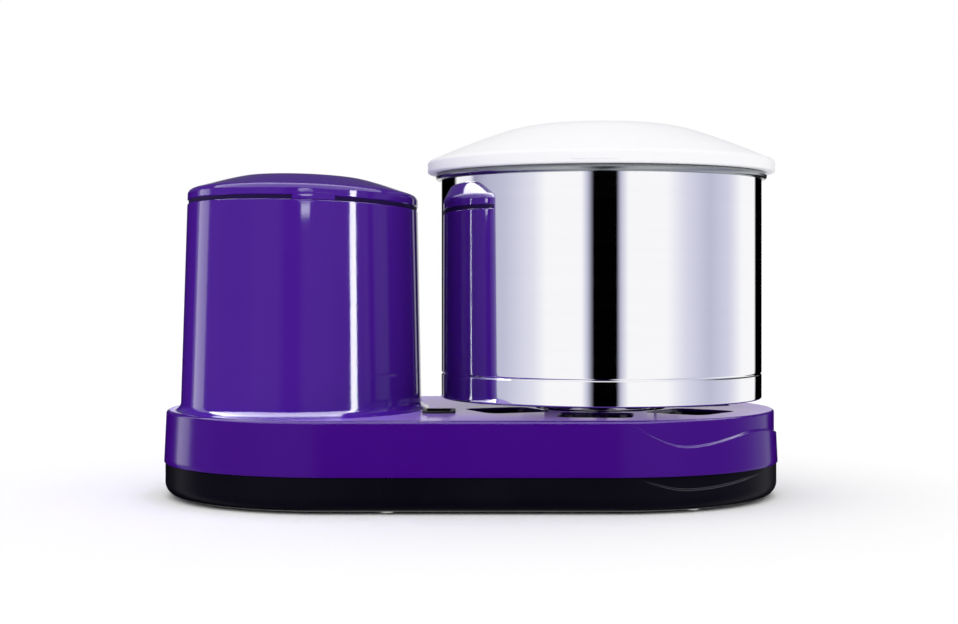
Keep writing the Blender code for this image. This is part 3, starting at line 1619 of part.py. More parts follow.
def settle(smooth_angle):
    """Turns each part into its finished mesh, shaded smooth up to the given angle."""
    bpy.context.view_layer.update()
    graph = bpy.context.evaluated_depsgraph_get()
    finished = {}
    for part in grinder.objects:
        if part.type == "MESH":
            finished[part.name] = bpy.data.meshes.new_from_object(part.evaluated_get(graph))
    for name, data in finished.items():
        part = grinder.objects[name]
        part.modifiers.clear()
        part.data = data
        data.name = name
        data.shade_smooth()
        data.set_sharp_from_angle(angle=smooth_angle)


make_base_pan()
make_feet()
make_pan_screws()
make_cord_gland()
make_housing()
make_tower_cap()
make_switch()
make_chassis_plate()
make_chassis_bolts()
make_spindle()
make_hub_bearings()
make_drum_pulley()
make_motor_pulley()
make_drive_belt()
make_drive_plate()
make_drum()
make_drum_tube()
make_drum_coupler()
make_base_stone()
make_clamp_nut()
make_lid()
make_stone_holder()
make_rollers()
make_wiper()
make_lock_spring()
make_lock_knob()
make_motor_bracket()
make_shields()
make_stator()
make_rotor()
make_motor_bearings()
make_cooling_fan()
make_capacitor()
make_terminal_block()
settle(math.radians(32))
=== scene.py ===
import json
import math

import bmesh
import bpy
import numpy as np
from mathutils import Euler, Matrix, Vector
from mathutils.geometry import delaunay_2d_cdt


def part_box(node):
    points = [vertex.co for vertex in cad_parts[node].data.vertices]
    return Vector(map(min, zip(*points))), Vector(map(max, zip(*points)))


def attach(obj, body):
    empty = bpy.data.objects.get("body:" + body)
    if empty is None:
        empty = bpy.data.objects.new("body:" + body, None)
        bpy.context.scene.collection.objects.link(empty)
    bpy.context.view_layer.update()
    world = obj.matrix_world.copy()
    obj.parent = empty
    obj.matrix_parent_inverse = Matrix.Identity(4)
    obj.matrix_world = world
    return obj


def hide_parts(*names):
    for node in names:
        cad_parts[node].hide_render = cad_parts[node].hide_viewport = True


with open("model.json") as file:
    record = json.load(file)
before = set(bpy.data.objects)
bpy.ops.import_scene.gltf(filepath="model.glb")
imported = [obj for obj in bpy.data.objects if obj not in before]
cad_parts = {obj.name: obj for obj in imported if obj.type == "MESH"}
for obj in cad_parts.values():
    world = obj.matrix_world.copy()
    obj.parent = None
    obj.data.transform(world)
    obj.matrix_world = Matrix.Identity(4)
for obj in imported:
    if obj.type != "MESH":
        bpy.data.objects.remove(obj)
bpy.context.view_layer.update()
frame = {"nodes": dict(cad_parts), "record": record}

# Looks of a table-top wet grinder: motor tower and steel drum on one base. Metres, +X to the drum, -Y front.
scene = bpy.context.scene
nodes = frame["nodes"]
mm = 0.001
mergeDistance = 1e-7

# Sizes that several pieces share
shape = {
    "drumX": 102 * mm,
    "towerX": -133 * mm,
    "endRadius": 138 * mm,
    "seam": 26.5 * mm,
    "deck": 67 * mm,
    "drumInside": 124.6 * mm,
    "drumTop": 250.5 * mm,
    "clearance": 0.3 * mm,
}


# Meshes from numpy grids

def addObject(name, data):
    made = bpy.data.objects.new(name, data)
    scene.collection.objects.link(made)
    return made


def addPiece(name, data, finish, body, hides=()):
    made = addObject(name, data)
    data.materials.append(materials[finish])
    if hides:
        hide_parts(*hides)
    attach(made, body)
    return made


def gridPiece(name, grid, finish, body, hides=(), sharpAngle=40, around=True):
    data = meshFromGrid(name, grid, sharpAngle, around)
    return addPiece(name, data, finish, body, hides)


def meshFromGrid(name, grid, sharpAngle, around=True):
    # The grid holds points over two parameters, and neighbours in both make a quad. around joins its last
    # row to its first. Doubles on poles and seams are merged, which leaves triangles there.
    rows, columns = grid.shape[:2]
    index = np.arange(rows * columns).reshape(rows, columns)
    if around:
        index = np.vstack([index, index[:1]])
    corners = (index[:-1, :-1], index[1:, :-1], index[1:, 1:], index[:-1, 1:])
    data = bpy.data.meshes.new(name)
    data.from_pydata(grid.reshape(-1, 3), [], np.stack(corners, axis=-1).reshape(-1, 4))
    return cleaned(data, sharpAngle)


def cleaned(data, sharpAngle, distance=mergeDistance):
    # Doubles merged, faces turned outwards, smooth shading with edges sharp from the angle on
    bm = bmesh.new()
    bm.from_mesh(data)
    bmesh.ops.remove_doubles(bm, verts=bm.verts, dist=distance)
    bmesh.ops.recalc_face_normals(bm, faces=bm.faces)
    bm.to_mesh(data)
    bm.free()
    data.shade_smooth()
    data.set_sharp_from_angle(angle=math.radians(sharpAngle))
    return data


def unit(way):
    return way / np.linalg.norm(way)


def roundedProfile(corners, closed=True, steps=5):
    # Corners are (radius, height, rounding). A rounding becomes an arc that touches its corner's two sides.
    # The arc's points turn evenly from the first touching point to the second round the arc's centre.
    made, count = [], len(corners)
    for i, (x, y, rounding) in enumerate(corners):
        here = np.array((x, y))
        if rounding == 0 or (not closed and i in (0, count - 1)):
            made.append(here[None])
            continue
        back = unit(np.array(corners[i - 1][:2]) - here)
        ahead = unit(np.array(corners[(i + 1) % count][:2]) - here)
        half = math.acos(np.clip(back @ ahead, -1, 1)) / 2
        centre = here + unit(back + ahead) * rounding / math.sin(half)
        first = here + back * rounding / math.tan(half) - centre
        last = here + ahead * rounding / math.tan(half) - centre
        turn = math.pi - 2 * half
        share = np.linspace(0, 1, steps + 1)[:, None]
        arc = (np.sin((1 - share) * turn) * first + np.sin(share * turn) * last) / math.sin(turn)
        made.append(centre + arc)
    made = np.concatenate(made)
    return np.vstack([made, made[:1]]) if closed else made


def arcPoints(x, y, radius, start, end, steps):
    # Points (x + r cos a, y + r sin a), with a in degrees from start to end
    bend = np.radians(np.linspace(start, end, steps + 1))
    return np.stack([x + radius * np.cos(bend), y + radius * np.sin(bend)], axis=-1)


def turnedGrid(profile, centre=(0, 0), stretch=1, steps=288):
    # The profile's (radius, height) points carried round Z: (r cos a, r sin a, h), stretched along Y.
    angle = np.linspace(0, 2 * math.pi, steps, endpoint=False)[:, None]
    radius, height = profile[:, 0][None], profile[:, 1][None]
    x = centre[0] + radius * np.cos(angle)
    y = centre[1] + radius * np.sin(angle) * stretch
    return np.stack([x, y, np.broadcast_to(height, x.shape)], axis=-1)


def smoothStep(x):
    # 3x^2 - 2x^3 between 0 and 1, level beyond
    x = np.clip(x, 0, 1)
    return x * x * (3 - 2 * x)


def ring(inner, outer, low, high, rounding):
    # Rectangular section whose four corners have the same rounding
    corners = [(inner, low), (outer, low), (outer, high), (inner, high)]
    return roundedProfile([(*corner, rounding) for corner in corners])


# Materials: a shared grain group, then one Principled for each finish

def setInputs(node, values):
    for label, value in values.items():
        node.inputs[label].default_value = value


def addNode(tree, kind, values=None, **settings):
    made = tree.nodes.new(kind)
    for key, value in settings.items():
        setattr(made, key, value)
    setInputs(made, values or {})
    return made


def mixNode(tree, tones):
    values = {label: (*tone, 1) for label, tone in tones.items()}
    return addNode(tree, "ShaderNodeMix", values, data_type="RGBA")


def rangeNode(tree, low, high):
    return addNode(tree, "ShaderNodeMapRange", {"From Min": low, "From Max": high})


def connect(tree, *links):
    # Each link is (node, output, node, input).
    for start, output, end, entry in links:
        tree.links.new(start.outputs[output], end.inputs[entry])


def grainGroup():
    # Two noises: a fine one for the moulded or machined grain and a broad one for handling marks.
    # The broad one also spreads the roughness from Low to High.
    group = bpy.data.node_groups.new("surfaceGrain", "ShaderNodeTree")
    group.interface.new_socket("Vector", in_out="INPUT", socket_type="NodeSocketVector")
    for label in ("Grain Scale", "Mark Scale", "Low", "High"):
        group.interface.new_socket(label, in_out="INPUT", socket_type="NodeSocketFloat")
    for label in ("Roughness", "Height", "Marks"):
        group.interface.new_socket(label, in_out="OUTPUT", socket_type="NodeSocketFloat")
    entry, end = group.nodes.new("NodeGroupInput"), group.nodes.new("NodeGroupOutput")
    fine = addNode(group, "ShaderNodeTexNoise", {"Detail": 3})
    broad = addNode(group, "ShaderNodeTexNoise", {"Detail": 5, "Roughness": 0.6})
    spread = rangeNode(group, 0.35, 0.65)  # where most of the noise lies
    for texture, scale in ((fine, "Grain Scale"), (broad, "Mark Scale")):
        connect(group, (entry, "Vector", texture, "Vector"), (entry, scale, texture, "Scale"))
    connect(
        group,
        (broad, "Fac", spread, "Value"), (entry, "Low", spread, "To Min"),
        (entry, "High", spread, "To Max"), (spread, "Result", end, "Roughness"),
        (fine, "Fac", end, "Height"), (broad, "Fac", end, "Marks"),
    )
    return group


surfaceGrain = grainGroup()


def newMaterial(name, settings):
    # Colour between two tones by the broad marks, roughness and bump from the grain group.
    made = bpy.data.materials.new(name)
    made.use_nodes = True
    tree = made.node_tree
    shader = tree.nodes["Principled BSDF"]
    low, high = settings["roughness"]
    first, second = settings["tones"]
    grains, marks = settings["scales"]
    relief = {"Strength": settings["bump"], "Distance": settings.get("bumpHeight", 0.05) * mm}
    place = addNode(tree, "ShaderNodeTexCoord")
    mapping = addNode(tree, "ShaderNodeMapping", {"Scale": settings.get("stretch", (1, 1, 1))})
    ranges = {"Grain Scale": grains, "Mark Scale": marks, "Low": low, "High": high}
    grain = addNode(tree, "ShaderNodeGroup", ranges, node_tree=surfaceGrain)
    tones = mixNode(tree, {"A": first, "B": second})
    bump = addNode(tree, "ShaderNodeBump", relief)
    connect(
        tree,
        (place, "Object", mapping, "Vector"), (mapping, "Vector", grain, "Vector"),
        (grain, "Marks", tones, "Factor"), (tones, "Result", shader, "Base Color"),
        (grain, "Roughness", shader, "Roughness"), (grain, "Height", bump, "Height"),
        (bump, "Normal", shader, "Normal"),
    )
    uniform = {
        "Metallic": settings.get("metallic", 0.0),
        "Specular IOR Level": settings.get("specular", 0.5),
        "Sheen Weight": settings.get("sheen", 0.0),
        "Sheen Roughness": settings.get("sheenRoughness", 0.3),
        "Sheen Tint": (*settings.get("sheenTint", (1, 1, 1)), 1),
    }
    setInputs(shader, uniform)
    return made


# scales are those of the grain and of the marks, in features per metre, and bumpHeight is in millimetres.
purple = {"scales": (260, 9), "bump": 0.03, "bumpHeight": 0.02}
finishes = {
    "purpleGloss": {
        **purple,
        "tones": ((0.062, 0.009, 0.272), (0.070, 0.012, 0.292)),
        "roughness": (0.06, 0.09), "specular": 0.12,
    },
    # Painted light: the deck is the tower's moulding in lighter tones that stand in for the light it mirrors.
    # Its hollows get painted shade below.
    "purpleDeckPaintedLight": {
        **purple,
        "tones": ((0.080, 0.018, 0.340), (0.088, 0.021, 0.360)),
        "roughness": (0.10, 0.14), "specular": 0.50,
        "sheen": 1.0, "sheenRoughness": 0.30, "sheenTint": (0.60, 0.40, 1.0),
    },
    # Painted shade: the skirt is the tower's moulding in darker tones that stand in for the lower light on
    # it.
    "purpleSkirtPaintedShade": {
        **purple,
        "tones": ((0.047, 0.0018, 0.208), (0.053, 0.0026, 0.225)),
        "roughness": (0.12, 0.17), "specular": 0.075,
    },
    # Painted shade: a dark finish that stands in for the shadow in the cap's gap.
    "purpleGapPaintedShade": {
        "tones": ((0.012, 0.002, 0.050), (0.016, 0.003, 0.062)),
        "roughness": (0.50, 0.60), "scales": (600, 20), "bump": 0.05, "specular": 0.1,
    },
    "blackGloss": {
        "tones": ((0.0026, 0.0020, 0.0058), (0.0036, 0.0028, 0.0076)),
        "roughness": (0.26, 0.34), "scales": (1600, 14), "bump": 0.06, "bumpHeight": 0.03, "specular": 0.02,
    },
    "switchBlack": {
        "tones": ((0.004, 0.004, 0.005), (0.007, 0.007, 0.008)),
        "roughness": (0.30, 0.38), "scales": (2400, 60), "bump": 0.15, "bumpHeight": 0.02,
    },
    "lidWhite": {
        "tones": ((0.945, 0.945, 0.965), (0.96, 0.96, 0.98)),
        "roughness": (0.34, 0.40), "scales": (500, 12), "bump": 0.01, "bumpHeight": 0.02, "specular": 0.03,
    },
    "mirrorSteel": {
        "tones": ((0.90, 0.90, 0.93), (0.94, 0.94, 0.96)),
        "roughness": (0.020, 0.045), "scales": (90, 7), "stretch": (1, 1, 22),
        "bump": 0.015, "bumpHeight": 0.01, "metallic": 1.0,
    },
    "rimSteel": {
        "tones": ((0.30, 0.32, 0.33), (0.40, 0.42, 0.43)),
        "roughness": (0.18, 0.26), "scales": (300, 20), "stretch": (1, 1, 12), "bump": 0.05, "metallic": 1.0,
    },
    "plainSteel": {
        "tones": ((0.40, 0.41, 0.43), (0.50, 0.51, 0.53)),
        "roughness": (0.26, 0.40), "scales": (700, 40), "stretch": (1, 1, 18), "bump": 0.12, "metallic": 1.0,
    },
    "zincSteel": {
        "tones": ((0.48, 0.49, 0.44), (0.60, 0.60, 0.56)),
        "roughness": (0.30, 0.42), "scales": (500, 60), "bump": 0.10, "metallic": 1.0,
    },
    "castAluminium": {
        "tones": ((0.52, 0.53, 0.54), (0.64, 0.65, 0.66)),
        "roughness": (0.38, 0.52), "scales": (900, 50), "bump": 0.35, "metallic": 1.0,
    },
    "nylon": {
        "tones": ((0.66, 0.65, 0.60), (0.74, 0.73, 0.68)),
        "roughness": (0.38, 0.50), "scales": (1100, 40), "bump": 0.10,
    },
    "rubber": {
        "tones": ((0.012, 0.012, 0.012), (0.022, 0.022, 0.023)),
        "roughness": (0.65, 0.85), "scales": (1500, 60), "bump": 0.30,
    },
    "laminatedIron": {
        "tones": ((0.14, 0.14, 0.15), (0.22, 0.22, 0.23)),
        "roughness": (0.42, 0.56), "scales": (400, 40), "stretch": (0.05, 0.05, 6),
        "bump": 0.60, "bumpHeight": 0.15, "metallic": 1.0,
    },
    "copperWinding": {
        "tones": ((0.38, 0.12, 0.05), (0.52, 0.20, 0.09)),
        "roughness": (0.30, 0.44), "scales": (500, 80), "stretch": (0.3, 0.3, 3),
        "bump": 0.60, "bumpHeight": 0.2, "metallic": 1.0,
    },
    "greyPlastic": {
        "tones": ((0.52, 0.52, 0.55), (0.58, 0.58, 0.61)),
        "roughness": (0.42, 0.55), "scales": (1300, 30), "bump": 0.12,
    },
}
materials = {name: newMaterial(name, settings) for name, settings in finishes.items()}


# ground and pale are (place on the ramp, tone).
stone = {
    "crystalScale": 620,
    "fleckScale": 1100,
    "fleckLimit": 0.78,
    "roughness": (0.55, 0.75),
    "ground": (0.35, (0.10, 0.098, 0.095)),
    "pale": (0.85, (0.34, 0.33, 0.32)),
    "fleck": (0.015, 0.015, 0.016),
}


def graniteMaterial():
    # Dark granite: each Voronoi cell's tone lies from ground to pale. Some cells of a finer set are black.
    settings = {**finishes["castAluminium"], "metallic": 0.0, "roughness": stone["roughness"]}
    made = newMaterial("granite", settings)
    tree = made.node_tree
    place = addNode(tree, "ShaderNodeTexCoord")
    crystals = addNode(tree, "ShaderNodeTexVoronoi", {"Scale": stone["crystalScale"]})
    flecks = addNode(tree, "ShaderNodeTexVoronoi", {"Scale": stone["fleckScale"]})
    ramp = addNode(tree, "ShaderNodeValToRGB")
    for stop, (position, tone) in zip(ramp.color_ramp.elements, (stone["ground"], stone["pale"])):
        stop.position = position
        stop.color = (*tone, 1)
    dark = addNode(tree, "ShaderNodeMath", {1: stone["fleckLimit"]}, operation="GREATER_THAN")
    mix = mixNode(tree, {"B": stone["fleck"]})
    split = addNode(tree, "ShaderNodeSeparateColor")
    fleckSplit = addNode(tree, "ShaderNodeSeparateColor")
    connect(
        tree,
        (place, "Object", crystals, "Vector"), (place, "Object", flecks, "Vector"),
        (crystals, "Color", split, "Color"), (split, "Red", ramp, "Fac"),
        (flecks, "Color", fleckSplit, "Color"), (fleckSplit, "Green", dark, 0),
        (dark, 0, mix, "Factor"), (ramp, "Color", mix, "A"),
        (mix, "Result", tree.nodes["Principled BSDF"], "Base Color"),
    )
    return made


materials["granite"] = graniteMaterial()
# Painted shade for the deck's hollows: the heights over which it fades in, and its dark tone
hollowShade = {"high": 66.4 * mm, "low": 64.6 * mm, "tone": (0.0030, 0.0010, 0.0100)}


def paintHollowShade():
    # Painted shade in the deck's hollows: below its surface the colour fades to a dark tone by height.
    tree = materials["purpleDeckPaintedLight"].node_tree
    shader = tree.nodes["Principled BSDF"]
    tones = shader.inputs["Base Color"].links[0].from_node
    place = addNode(tree, "ShaderNodeTexCoord")
    split = addNode(tree, "ShaderNodeSeparateXYZ")
    fade = rangeNode(tree, hollowShade["high"], hollowShade["low"])
    mix = mixNode(tree, {"B": hollowShade["tone"]})
    connect(
        tree,
        (place, "Object", split, "Vector"), (split, "Z", fade, "Value"),
        (fade, "Result", mix, "Factor"), (tones, "Result", mix, "A"),
        (mix, "Result", shader, "Base Color"),
    )


paintHollowShade()
print("materials:", len(materials))

# CAD nodes that stay in view keep their shape and take the finish of their slot
finishOfSlot = {
    "purple_gloss": "purpleGloss",
    "black_gloss": "blackGloss",
    "white_plastic": "lidWhite",
    "mirror_steel": "mirrorSteel",
    "plain_steel": "plainSteel",
    "zinc_steel": "zincSteel",
    "cast_aluminium": "castAluminium",
    "granite": "granite",
    "white_nylon": "nylon",
    "black_rubber": "rubber",
    "laminated_iron": "laminatedIron",
    "copper_winding": "copperWinding",
    "grey_plastic": "greyPlastic",
}
for part in frame["record"]["subparts"]:
    finish = materials[finishOfSlot[part["material_slot"]]]
    node = nodes[part["node"]]
    for place in node.material_slots:
        place.material = finish
    if not node.material_slots:
        node.data.materials.append(finish)

# Camera at the photograph's viewing angle, level, with its frame moved down by the horizon's offset
view = {
    "imageWidth": 958,
    "imageHeight": 624,
    "focalPixels": 1710.0,
    "horizonRow": 283,
    "sensorWidth": 36.0,
    "clip": (0.01, 100),
    "place": (6.3 * mm, -1350 * mm, 165 * mm),
}


def makeCamera():
    data = bpy.data.cameras.new("photoCamera")
    data.sensor_width = view["sensorWidth"]
    data.lens = view["focalPixels"] / view["imageWidth"] * view["sensorWidth"]
    data.shift_y = (view["horizonRow"] - view["imageHeight"] / 2) / view["imageWidth"]
    data.clip_start, data.clip_end = view["clip"]
    made = addObject("photoCamera", data)
    made.location = view["place"]
    made.rotation_euler = (math.pi / 2, 0, 0)
    scene.camera = made


makeCamera()

# Studio: bright surroundings with dark flags, which polished steel mirrors as upright bands.
# Each band is (degrees round from the front, brightness), positive towards the drum. bandTop and backHeight
# are ranges of a ray's upward part, and behind is the range of its part away from the camera.
studio = {
    "ambient": 0.93,
    "greyTint": (0.98, 0.98, 1.12),
    "greyTintShare": 4,
    "bands": [
        (-180, 1.0), (-168, 1.0), (-165.5, 0.0), (-131, 0.0), (-127, 1.0), (-109, 0.90), (-104, 0.35),
        (-92, 0.50), (-75, 0.58), (-52, 0.80), (-42, 1.0), (-17, 1.0), (-13, 0.60), (-8.6, 0.0),
        (7.2, 0.0), (10, 0.55), (15.5, 1.0), (43, 1.0), (58, 0.74), (78, 0.55), (98, 0.70),
        (114, 1.0), (136, 1.0), (139, 0.0), (165.5, 0.0), (168, 1.0), (180, 1.0),
    ],
    "bandTop": (0.62, 0.80),
    "topBrightness": 0.92,
    "backHeight": (0.10, 0.17),
    "behind": (-0.2, 0.2),
    "backBrightness": 0.10,
}


def makeWorld():
    # Direction (x, y) gives the angle atan2(x, -y), which picks the band's brightness from a ramp. Behind the
    # object it is dark from a little above the horizon, so the cap's dome keeps its colour.
    # The camera sees plain white, and diffuse surfaces get an even light.
    world = bpy.data.worlds.new("studio")
    world.use_nodes = True
    scene.world = world
    tree = world.node_tree
    tree.nodes.clear()

    def mathNode(operation, values=None):
        return addNode(tree, "ShaderNodeMath", values, operation=operation)

    place = addNode(tree, "ShaderNodeTexCoord")
    split = addNode(tree, "ShaderNodeSeparateXYZ")
    back = mathNode("MULTIPLY", {1: -1})
    angle = mathNode("ARCTAN2")
    turn = mathNode("MULTIPLY_ADD", {1: 1 / (2 * math.pi), 2: 0.5})
    ramp = addNode(tree, "ShaderNodeValToRGB")
    stops = ramp.color_ramp.elements
    for degrees, _ in studio["bands"][1:-1]:
        stops.new(degrees / 360 + 0.5)
    for stop, (_, brightness) in zip(stops, studio["bands"]):
        grey = (1 - brightness) * brightness
        tint = [brightness + grey * (c - 1) * studio["greyTintShare"] for c in studio["greyTint"]]
        stop.color = (*tint, 1)
    height = rangeNode(tree, *studio["bandTop"])
    low, behind = rangeNode(tree, *studio["backHeight"]), rangeNode(tree, *studio["behind"])
    overhead = mixNode(tree, {"B": (studio["topBrightness"],) * 3})
    darkened = mixNode(tree, {"B": (studio["backBrightness"],) * 3})
    both = mathNode("MULTIPLY")
    white = {"Color": (1, 1, 1, 1)}
    even = addNode(tree, "ShaderNodeBackground", {**white, "Strength": studio["ambient"]})
    mirrored, seen = (addNode(tree, "ShaderNodeBackground", white) for _ in range(2))
    rays = addNode(tree, "ShaderNodeLightPath")
    glossy = addNode(tree, "ShaderNodeMixShader")
    final = addNode(tree, "ShaderNodeMixShader")
    clear = mathNode("MAXIMUM")
    end = addNode(tree, "ShaderNodeOutputWorld")
    connect(
        tree,
        (place, "Generated", split, "Vector"), (split, "Y", back, 0),
        (split, "X", angle, 0), (back, 0, angle, 1),
        (angle, 0, turn, 0), (turn, 0, ramp, "Fac"),
        (split, "Z", height, "Value"), (height, "Result", overhead, "Factor"),
        (split, "Z", low, "Value"), (split, "Y", behind, "Value"),
        (low, "Result", both, 0), (behind, "Result", both, 1),
        (both, 0, darkened, "Factor"), (ramp, "Color", darkened, "A"),
        (darkened, "Result", overhead, "A"), (overhead, "Result", mirrored, "Color"),
        (rays, "Is Glossy Ray", glossy, "Fac"), (even, 0, glossy, 1),
        (mirrored, 0, glossy, 2), (rays, "Is Camera Ray", clear, 0),
        (rays, "Is Transmission Ray", clear, 1), (clear, 0, final, "Fac"),
        (glossy, 0, final, 1), (seen, 0, final, 2),
        (final, 0, end, "Surface"),
    )


makeWorld()

# Lamps: a broad sun overhead for soft shadows, and panels whose images lie on the glossy plastic.
# A panel's glow is its watts per square metre, which sets how bright its image is.
sun = {"strength": 0.36, "spread": 60, "tip": (12, 0, 8)}
aboveBox = {"place": (0.0, -0.50, 1.000), "aim": (0.0, -0.45, 0.0), "size": (4.0, 2.2)}
panels = {
    "strip": {
        "place": (0.300, -0.245, 0.150), "aim": (-0.085, -0.100, 0.150),
        "size": (0.054, 0.400), "glow": 260, "lights": "tower",
    },
    "sideLeft": {
        "place": (-0.633, 0.143, 0.150), "aim": (-0.200, -0.078, 0.150),
        "size": (0.150, 0.420), "glow": 10, "lights": "side",
    },
    "spot": {
        "place": (-0.043, -0.408, 0.250), "aim": (-0.118, -0.118, 0.218),
        "size": (0.060, 0.010), "glow": 130, "lights": "tower",
    },
    "spotUpper": {
        "place": (-0.043, -0.408, 0.270), "aim": (-0.118, -0.118, 0.233),
        "size": (0.100, 0.014), "glow": 110, "lights": "tower",
    },
    "topBox": {**aboveBox, "glow": 135, "lights": "body"},
    "skirtBox": {**aboveBox, "glow": 45, "lights": "skirt"},
    "capBox": {**aboveBox, "glow": 18, "lights": "cap"},
}


def makeSun():
    data = bpy.data.lights.new("overhead", "SUN")
    data.energy, data.angle = sun["strength"], math.radians(sun["spread"])
    made = addObject("overhead", data)
    made.rotation_euler = [math.radians(degrees) for degrees in sun["tip"]]
    made.visible_glossy = False


def makePanels():
    # They light gloss alone, and only the pieces in their own collection.
    groups = dict.fromkeys(settings["lights"] for settings in panels.values())
    lit = {name: bpy.data.collections.new("lit" + name.capitalize()) for name in groups}
    for name, settings in panels.items():
        data = bpy.data.lights.new(name, "AREA")
        data.shape = "RECTANGLE"
        data.size, data.size_y = settings["size"]
        data.energy = settings["glow"] * data.size * data.size_y
        made = addObject(name, data)
        made.location = settings["place"]
        direction = Vector(settings["aim"]) - Vector(settings["place"])
        made.rotation_euler = direction.to_track_quat("-Z", "Y").to_euler()
        made.visible_diffuse = False
        made.visible_camera = False
        made.light_linking.receiver_collection = lit[settings["lights"]]
    return lit


makeSun()
panelLit = makePanels()
floor = {"halfSize": 12.0, "tone": (1.0, 1.0, 1.0), "roughness": 0.9}


def makeFloor():
    data = bpy.data.meshes.new("floor")
    corners = np.array([(-1, -1, 0), (1, -1, 0), (1, 1, 0), (-1, 1, 0)]) * floor["halfSize"]
    data.from_pydata(corners, [], [(0, 1, 2, 3)])
    made = addObject("floor", data)
    made.visible_glossy = False
    finish = bpy.data.materials.new("floorWhite")
    finish.use_nodes = True
    values = {"Base Color": (*floor["tone"], 1), "Roughness": floor["roughness"], "Specular IOR Level": 0.0}
    setInputs(finish.node_tree.nodes["Principled BSDF"], values)
    data.materials.append(finish)


makeFloor()
scene.view_settings.view_transform = "Standard"
print("studio: camera, world, lamps and floor")


# Housing: skirt with the wave step, deck with the well and its pockets, and tower wall. One CAD node.

def stadiumGrid(profileAt, endSteps=160, sideSteps=12):
    # profileAt(a) gives (reach, height) points, a in degrees from the front or the back round the right end.
    # A point lies at its centre plus reach times (cos f, sin f). The centre slides along the straight sides.
    right = np.linspace(-90, 90, endSteps + 1)
    left = np.linspace(90, 270, endSteps // 2 + 1)
    slide = np.linspace(1, -1, sideSteps + 1)[1:-1]
    samples = [(1, f) for f in right] + [(s, 90) for s in slide] + [(-1, f) for f in left]
    samples += [(-s, 270) for s in slide]
    made = []
    for share, facing in samples:
        turn = min(facing + 90, 90 - facing) if share == 1 else 0
        points = profileAt(max(turn, 0))
        f = math.radians(facing)
        x = share * shape["drumX"] + points[:, 0] * math.cos(f)
        made.append(np.stack([x, points[:, 0] * math.sin(f), points[:, 1]], axis=-1))
    return np.array(made)


def stepRows(outer, inner, height, slope):
    # A ledge seen from the side: it slants inwards, and both its ends are softened.
    width = outer - inner
    out = outer - width * np.array([0, 0.03, 0.13, 0.35, 0.65, 0.87, 0.97, 1.0])
    up = height + slope * width * np.array([0, 0.16, 0.27, 0.40, 0.60, 0.73, 0.84, 1.0])
    return np.stack([out, up], axis=-1)


wave = {
    "start": 4.0,
    "trough": 24.0,
    "crest": 54.0,
    "troughHeight": 46.5 * mm,
    "crestHeight": 54.5 * mm,
    "endHeight": 48.0 * mm,
    "depth": 1.8 * mm,
    "edgeRound": 3.0 * mm,
    "edgeBreak": 0.3 * mm,
    "draft": 1.7 * mm,
    "lap": 1.0 * mm,
    "slope": 1.1,
}


def waveHeight(degrees):
    # Sine from the deck's edge to the trough, then two smooth steps: up to the crest and down to the end.
    start, trough, crest = wave["start"], wave["trough"], wave["crest"]
    deck, valley, peak = shape["deck"], wave["troughHeight"], wave["crestHeight"]
    if degrees < trough:
        share = max(0, degrees - start) / (trough - start)
        return deck + (valley - deck) * math.sin(share * math.pi / 2)
    if degrees < crest:
        return valley + (peak - valley) * smoothStep((degrees - trough) / (crest - trough))
    return peak + (wave["endHeight"] - peak) * smoothStep((degrees - crest) / (90 - crest))


def skirtProfile(degrees):
    # Up the drafted skirt, over the wave's ledge, round the deck's edge by an arc, and down the inner side
    reach, deck, edge, slight = shape["endRadius"], shape["deck"], wave["edgeRound"], wave["edgeBreak"]
    bottom = shape["seam"] + shape["clearance"]
    low = min(waveHeight(degrees), deck - edge)
    climb = (low - shape["seam"]) / (deck - edge - shape["seam"])
    outer = reach - wave["draft"] * climb
    bite = wave["depth"] * smoothStep((degrees - wave["start"]) / (wave["trough"] - wave["start"]))
    inner = outer - bite
    flat = reach - wave["draft"] - edge  # where the deck's level part begins
    nose = inner - flat
    first = [(reach - slight, bottom)]
    rows = np.linspace((reach, bottom + slight), (outer, low - slight), 10)
    ledge = stepRows(outer, inner, low, wave["slope"])
    ledgeTop = min(low + wave["slope"] * bite + slight, deck - nose)
    upper = np.linspace((inner, ledgeTop), (inner, deck - nose), 8)
    arc = arcPoints(flat, deck - nose, nose, 0, 90, 10)
    inside = flat - wave["lap"]
    back = [(inside, deck - 0.1 * mm), (inside, bottom)]
    return np.vstack([first, rows, ledge, upper, arc, back, first])


def makeSkirt():
    grid = stadiumGrid(skirtProfile)
    return gridPiece("housingSkirt", grid, "purpleSkirtPaintedShade", "base", ["housing"], sharpAngle=50)


# rings holds radii in millimetres round the drum's axis, each with the step between the rings up to it.
deckPlan = {
    "wellRadius": 50 * mm,
    "wellDepth": 12 * mm,
    "holeRadius": 34 * mm,
    "collarHeight": 4 * mm,
    "collarWidth": 3 * mm,
    "pocketCount": 6,
    "pocketTurn": -96.5,
    "pocketHalf": 27 * mm,
    "pocketReach": (55 * mm, 106 * mm),
    "pocketDepth": 7 * mm,
    "pocketCorner": 10 * mm,
    "wallWidth": 1.4 * mm,
    "thickness": 3 * mm,
    "overlap": 0.02 * mm,
    "steps": 660,
    "rings": [(34, 0), (36.4, 0.6), (39, 1), (48, 3), (60, 0.6), (80, 1.2), (96, 1.2), (109, 0.55)],
    "outerRings": 8,
    "sharpAngle": 50,
    "switchHalf": (11.2 * mm, 14.2 * mm),
    "switchPlace": (-24 * mm, -52 * mm),
}


